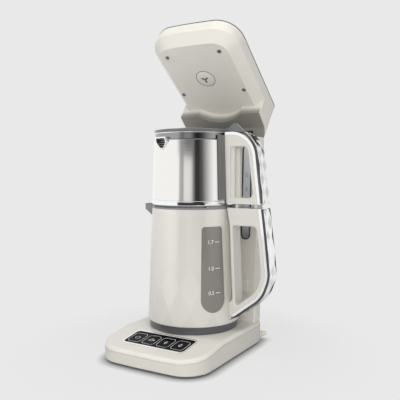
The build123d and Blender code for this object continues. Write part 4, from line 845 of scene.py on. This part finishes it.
# the outlet's dark seal and the shade in its three-way slot
outlet = {
    "middle": (0, 0.03921, 0.44957), "turn": -38.0, "dome": 0.0021,
    "radius": 0.0169, "seal": 0.00055, "sealFlat": 0.6, "sealSteps": (64, 10),
    "arms": (90, 210, 330), "slot": 0.0034, "slotLength": 0.0072, "slotDepth": 0.0003,
    "endPlay": 0.0003, "sidePlay": 0.0002,
}


def addSeal(onHead):
    around, across = outlet["sealSteps"]
    deselectAll()
    bpy.ops.mesh.primitive_torus_add(major_radius=outlet["radius"], minor_radius=outlet["seal"],
                                     major_segments=around, minor_segments=across)
    seal = bpy.context.active_object
    seal.scale = (1, 1, outlet["sealFlat"])
    applyPlace(seal)
    seal.matrix_world = onHead
    finishPiece(seal, "outlet_seal", bodyOf["water_outlet"],
                finishes["darkGrey"])


def addSlotShade(onHead):
    reach = outlet["slotLength"] / 2
    length = outlet["slotLength"] - outlet["endPlay"]
    width = outlet["slot"] - outlet["sidePlay"]
    arms = []
    for turn in outlet["arms"]:
        spot = (reach * cos(radians(turn)), reach * sin(radians(turn)))
        arms.append(barShape(length, width, spot, turn))
    shade = joinShapes(arms)
    thicken(shade, outlet["slotDepth"])
    shade.matrix_world = onHead @ Matrix.Translation((0, 0, -outlet["dome"]))
    finishPiece(shade, "outlet_shade", bodyOf["water_outlet"],
                finishes["darkGrey"])


# the head is built turned back about its hinge, and the outlet's axis with it
outletPlace = (Matrix.Translation(outlet["middle"])
               @ Matrix.Rotation(radians(outlet["turn"]), 4, "X"))
addSeal(outletPlace)
addSlotShade(outletPlace)
print("outlet trimmed")

# floor, world, lamps and camera
stage = {
    "size": 3.0, "drop": 0.0004, "pale": 0.8148,
    "paper": 0.80, "paperRoughness": 0.9, "paperShare": 0.15, "paperReach": (0.16, 0.34),
    "contact": 0.016, "contactTone": 0.9, "contactPower": 1.8, "contactSamples": 12,
    "air": (1, 0.99, 0.97), "airStrength": 0.30,
}

# what polished metal sees, as tones by the angle round the part from the camera's side:
# white cards, a grey gap in which a light strip hangs low, and a dark card
cards = {
    "cameraTurn": 58.6,
    # the world at the horizon, and higher up, past the strip's top edge
    "low": [(-180, 1.0), (-43, 1.0), (-38, 0.5), (-32, 0.4), (-28, 0.55), (-26, 0.82),
            (-12, 0.82), (-6, 0.64), (-1, 0.26), (2, 0.14), (5, 0.04), (14, 0.04), (24, 0.12),
            (35, 0.40), (50, 0.80), (60, 1.0), (72, 0.8), (80, 0.2), (94, 0.2), (100, 0.95),
            (106, 0.95), (110, 0.62), (118, 0.68), (121, 0.95), (134, 0.9), (138, 0.6),
            (150, 0.6), (156, 1.0)],
    "high": [(-180, 1.0), (-50, 1.0), (-43, 0.7), (-38, 0.38), (-23, 0.23), (-17, 0.18),
             (-1, 0.18), (5, 0.035), (14, 0.035), (24, 0.12), (35, 0.40), (50, 0.80), (60, 1.0),
             (72, 0.8), (80, 0.2), (94, 0.2), (100, 0.95), (108, 0.9), (114, 0.6), (120, 0.95),
             (134, 0.75), (139, 0.05), (164, 0.05), (170, 0.9)],
    # the world under the horizon
    "below": [(-180, 1.0), (-47, 1.0), (-43, 0.05), (30, 0.03), (42, 0.9), (60, 1.0),
              (72, 0.8), (80, 0.2), (94, 0.2), (100, 0.95)],
    # the floor close to the part, darkened there as painted shade in what metal mirrors, and
    # further away
    "near": [(-180, 0.81), (104, 0.81), (128, 0.5), (150, 0.35), (175, 0.7)],
    "far": [(-180, 0.81), (98, 0.81), (104, 0.95), (110, 0.7), (118, 0.7), (121, 0.95),
            (134, 0.9), (138, 0.65), (150, 0.65), (156, 0.9)],
    "sky": 0.90,
    # where one gives way to the next: metres from the middle, and the upward part of a ray
    "floorEdge": (0.26, 0.60),
    "belowEdge": (-0.022, -0.008), "stripEdge": (0.080, 0.090), "skyEdge": (0.50, 0.75),
}


def grey(tone):
    return (tone, tone, tone, 1)


def cardRamp(tree, share, stops):
    ramp = addNode(tree, "ShaderNodeValToRGB")
    feed(tree, ramp.inputs[0], share)
    elements = ramp.color_ramp.elements
    while len(elements) < len(stops):
        elements.new(0.5)
    for element, (angle, value) in zip(elements, stops):
        element.position = (angle + 180) / 360
        element.color = grey(value)
    return ramp.outputs[0]


def turnShare(tree, first, second):
    # the angle round the part, 0.5 towards the camera's side
    turn = mathNode(tree, "ARCTAN2", second, first)
    turned = mathNode(tree, "ADD", turn, radians(cards["cameraTurn"]))
    return mathNode(tree, "FRACT", mathNode(tree, "MULTIPLY_ADD", turned, 1 / (2 * pi), 0.5))


def makeFloor():
    deselectAll()
    bpy.ops.mesh.primitive_plane_add(size=stage["size"], location=(0, 0, -stage["drop"]))
    floor = bpy.context.active_object
    floor.name = "floor"
    material = bpy.data.materials.new("floorPaper")
    material.use_nodes = True
    tree = material.node_tree
    paper = tree.nodes["Principled BSDF"]
    feedNode(tree, paper, {"Base Color": grey(stage["paper"]),
                           "Roughness": stage["paperRoughness"], "Specular IOR Level": 0.0})
    # the backdrop glows in one pale tone, or in the cards' tones where metal mirrors it,
    # with a soft shade under the base
    contact = addNode(tree, "ShaderNodeAmbientOcclusion", samples=stage["contactSamples"])
    feed(tree, contact.inputs["Distance"], stage["contact"])
    shade = mathNode(tree, "POWER", contact.outputs["AO"], stage["contactPower"])
    strength = mathNode(tree, "MULTIPLY_ADD", shade, stage["contactTone"],
                        1 - stage["contactTone"])
    place = objectPlace(tree)
    square = mathNode(tree, "MULTIPLY", place[1], place[1])
    away = mathNode(tree, "SQRT", mathNode(tree, "MULTIPLY_ADD", place[0], place[0], square))
    share = turnShare(tree, place[0], place[1])
    mirrored = mixColour(tree, rangeNode(tree, away, *cards["floorEdge"]),
                         cardRamp(tree, share, cards["near"]),
                         cardRamp(tree, share, cards["far"]))
    rays = addNode(tree, "ShaderNodeLightPath").outputs
    tone = mixColour(tree, rays["Is Glossy Ray"], grey(stage["pale"]), mirrored)
    glow = addNode(tree, "ShaderNodeEmission")
    feedNode(tree, glow, {"Color": tone, "Strength": strength})
    # near the part a share of the lit paper shows through, and rays of other kinds see only it
    plainShare = rangeNode(tree, away, *stage["paperReach"], 1 - stage["paperShare"], 1.0)
    backdrop = mixShader(tree, plainShare, paper.outputs[0], glow.outputs[0])
    seen = mathNode(tree, "MAXIMUM", rays["Is Camera Ray"], rays["Is Glossy Ray"])
    seen = mathNode(tree, "MAXIMUM", seen, rays["Is Transmission Ray"])
    whole = mixShader(tree, seen, paper.outputs[0], backdrop)
    feed(tree, tree.nodes["Material Output"].inputs["Surface"], whole)
    floor.data.materials.append(material)


def makeWorld():
    world = bpy.data.worlds.new("studio")
    bpy.context.scene.world = world
    world.use_nodes = True
    tree = world.node_tree
    air = tree.nodes["Background"]
    feedNode(tree, air, {"Color": (*stage["air"], 1), "Strength": stage["airStrength"]})
    split = addNode(tree, "ShaderNodeSeparateXYZ")
    feed(tree, split.inputs[0], addNode(tree, "ShaderNodeTexCoord").outputs["Generated"])
    share = turnShare(tree, split.outputs[0], split.outputs[1])
    lift = split.outputs[2]
    # low cards, high ones above the strip's edge, then what is under the horizon, and the sky
    ring = mixColour(tree, rangeNode(tree, lift, *cards["stripEdge"]),
                     cardRamp(tree, share, cards["low"]), cardRamp(tree, share, cards["high"]))
    ring = mixColour(tree, rangeNode(tree, lift, *cards["belowEdge"]),
                     cardRamp(tree, share, cards["below"]), ring)
    whole = mixColour(tree, rangeNode(tree, lift, *cards["skyEdge"]), ring, grey(cards["sky"]))
    mirrored = addNode(tree, "ShaderNodeBackground")
    feed(tree, mirrored.inputs["Color"], whole)
    seen = addNode(tree, "ShaderNodeBackground")
    feed(tree, seen.inputs["Color"], grey(stage["pale"]))
    rays = addNode(tree, "ShaderNodeLightPath").outputs
    unseen = mixShader(tree, rays["Is Glossy Ray"], air.outputs[0], mirrored.outputs[0])
    direct = mathNode(tree, "MAXIMUM", rays["Is Camera Ray"], rays["Is Transmission Ray"])
    both = mixShader(tree, direct, unseen, seen.outputs[0])
    feed(tree, tree.nodes["World Output"].inputs["Surface"], both)


# soft boxes, which neither the camera nor polished metal sees
lamps = {
    "keyBox": {"place": (0.80, -1.42, 0.42), "aim": (0, 0, 0.22), "size": 1.5, "power": 12.5},
    "overhead": {"place": (0.1, -0.5, 1.6), "aim": (0, 0, 0.2), "size": 1.4, "power": 12.0},
    "rightFill": {"place": (1.2, -1.1, 0.6), "aim": (0, 0, 0.2), "size": 0.8, "power": 4.2},
    "lowLeft": {"place": (-0.75, -1.15, 0.25), "aim": (0, 0, 0.45), "size": 0.6, "power": 2.2},
}


def makeLamps():
    for name, lamp in lamps.items():
        bpy.ops.object.light_add(type="AREA", location=lamp["place"])
        light = bpy.context.active_object
        light.name = name
        light.data.size = lamp["size"]
        light.data.energy = lamp["power"]
        aim = Vector(lamp["aim"]) - Vector(lamp["place"])
        light.rotation_euler = aim.to_track_quat("-Z", "Y").to_euler()
        light.visible_camera = False
        light.visible_glossy = False


shot = {
    "turn": 31.43, "distance": 0.91589, "height": 0.2926, "pitch": 3.02, "yaw": -0.65,
    "lens": 49.578, "sensor": 36, "nearest": 0.01,
}


def makeCamera():
    turn = radians(shot["turn"])
    spot = (sin(turn) * shot["distance"], -cos(turn) * shot["distance"], shot["height"])
    aim = (pi / 2 - radians(shot["pitch"]), 0, turn + radians(shot["yaw"]))
    bpy.ops.object.camera_add(location=spot, rotation=aim)
    camera = bpy.context.active_object
    camera.data.lens = shot["lens"]
    camera.data.sensor_width = shot["sensor"]
    camera.data.clip_start = shot["nearest"]
    bpy.context.scene.camera = camera


makeFloor()
makeWorld()
makeLamps()
makeCamera()
bpy.context.scene.view_settings.view_transform = "Standard"
print("stage set")
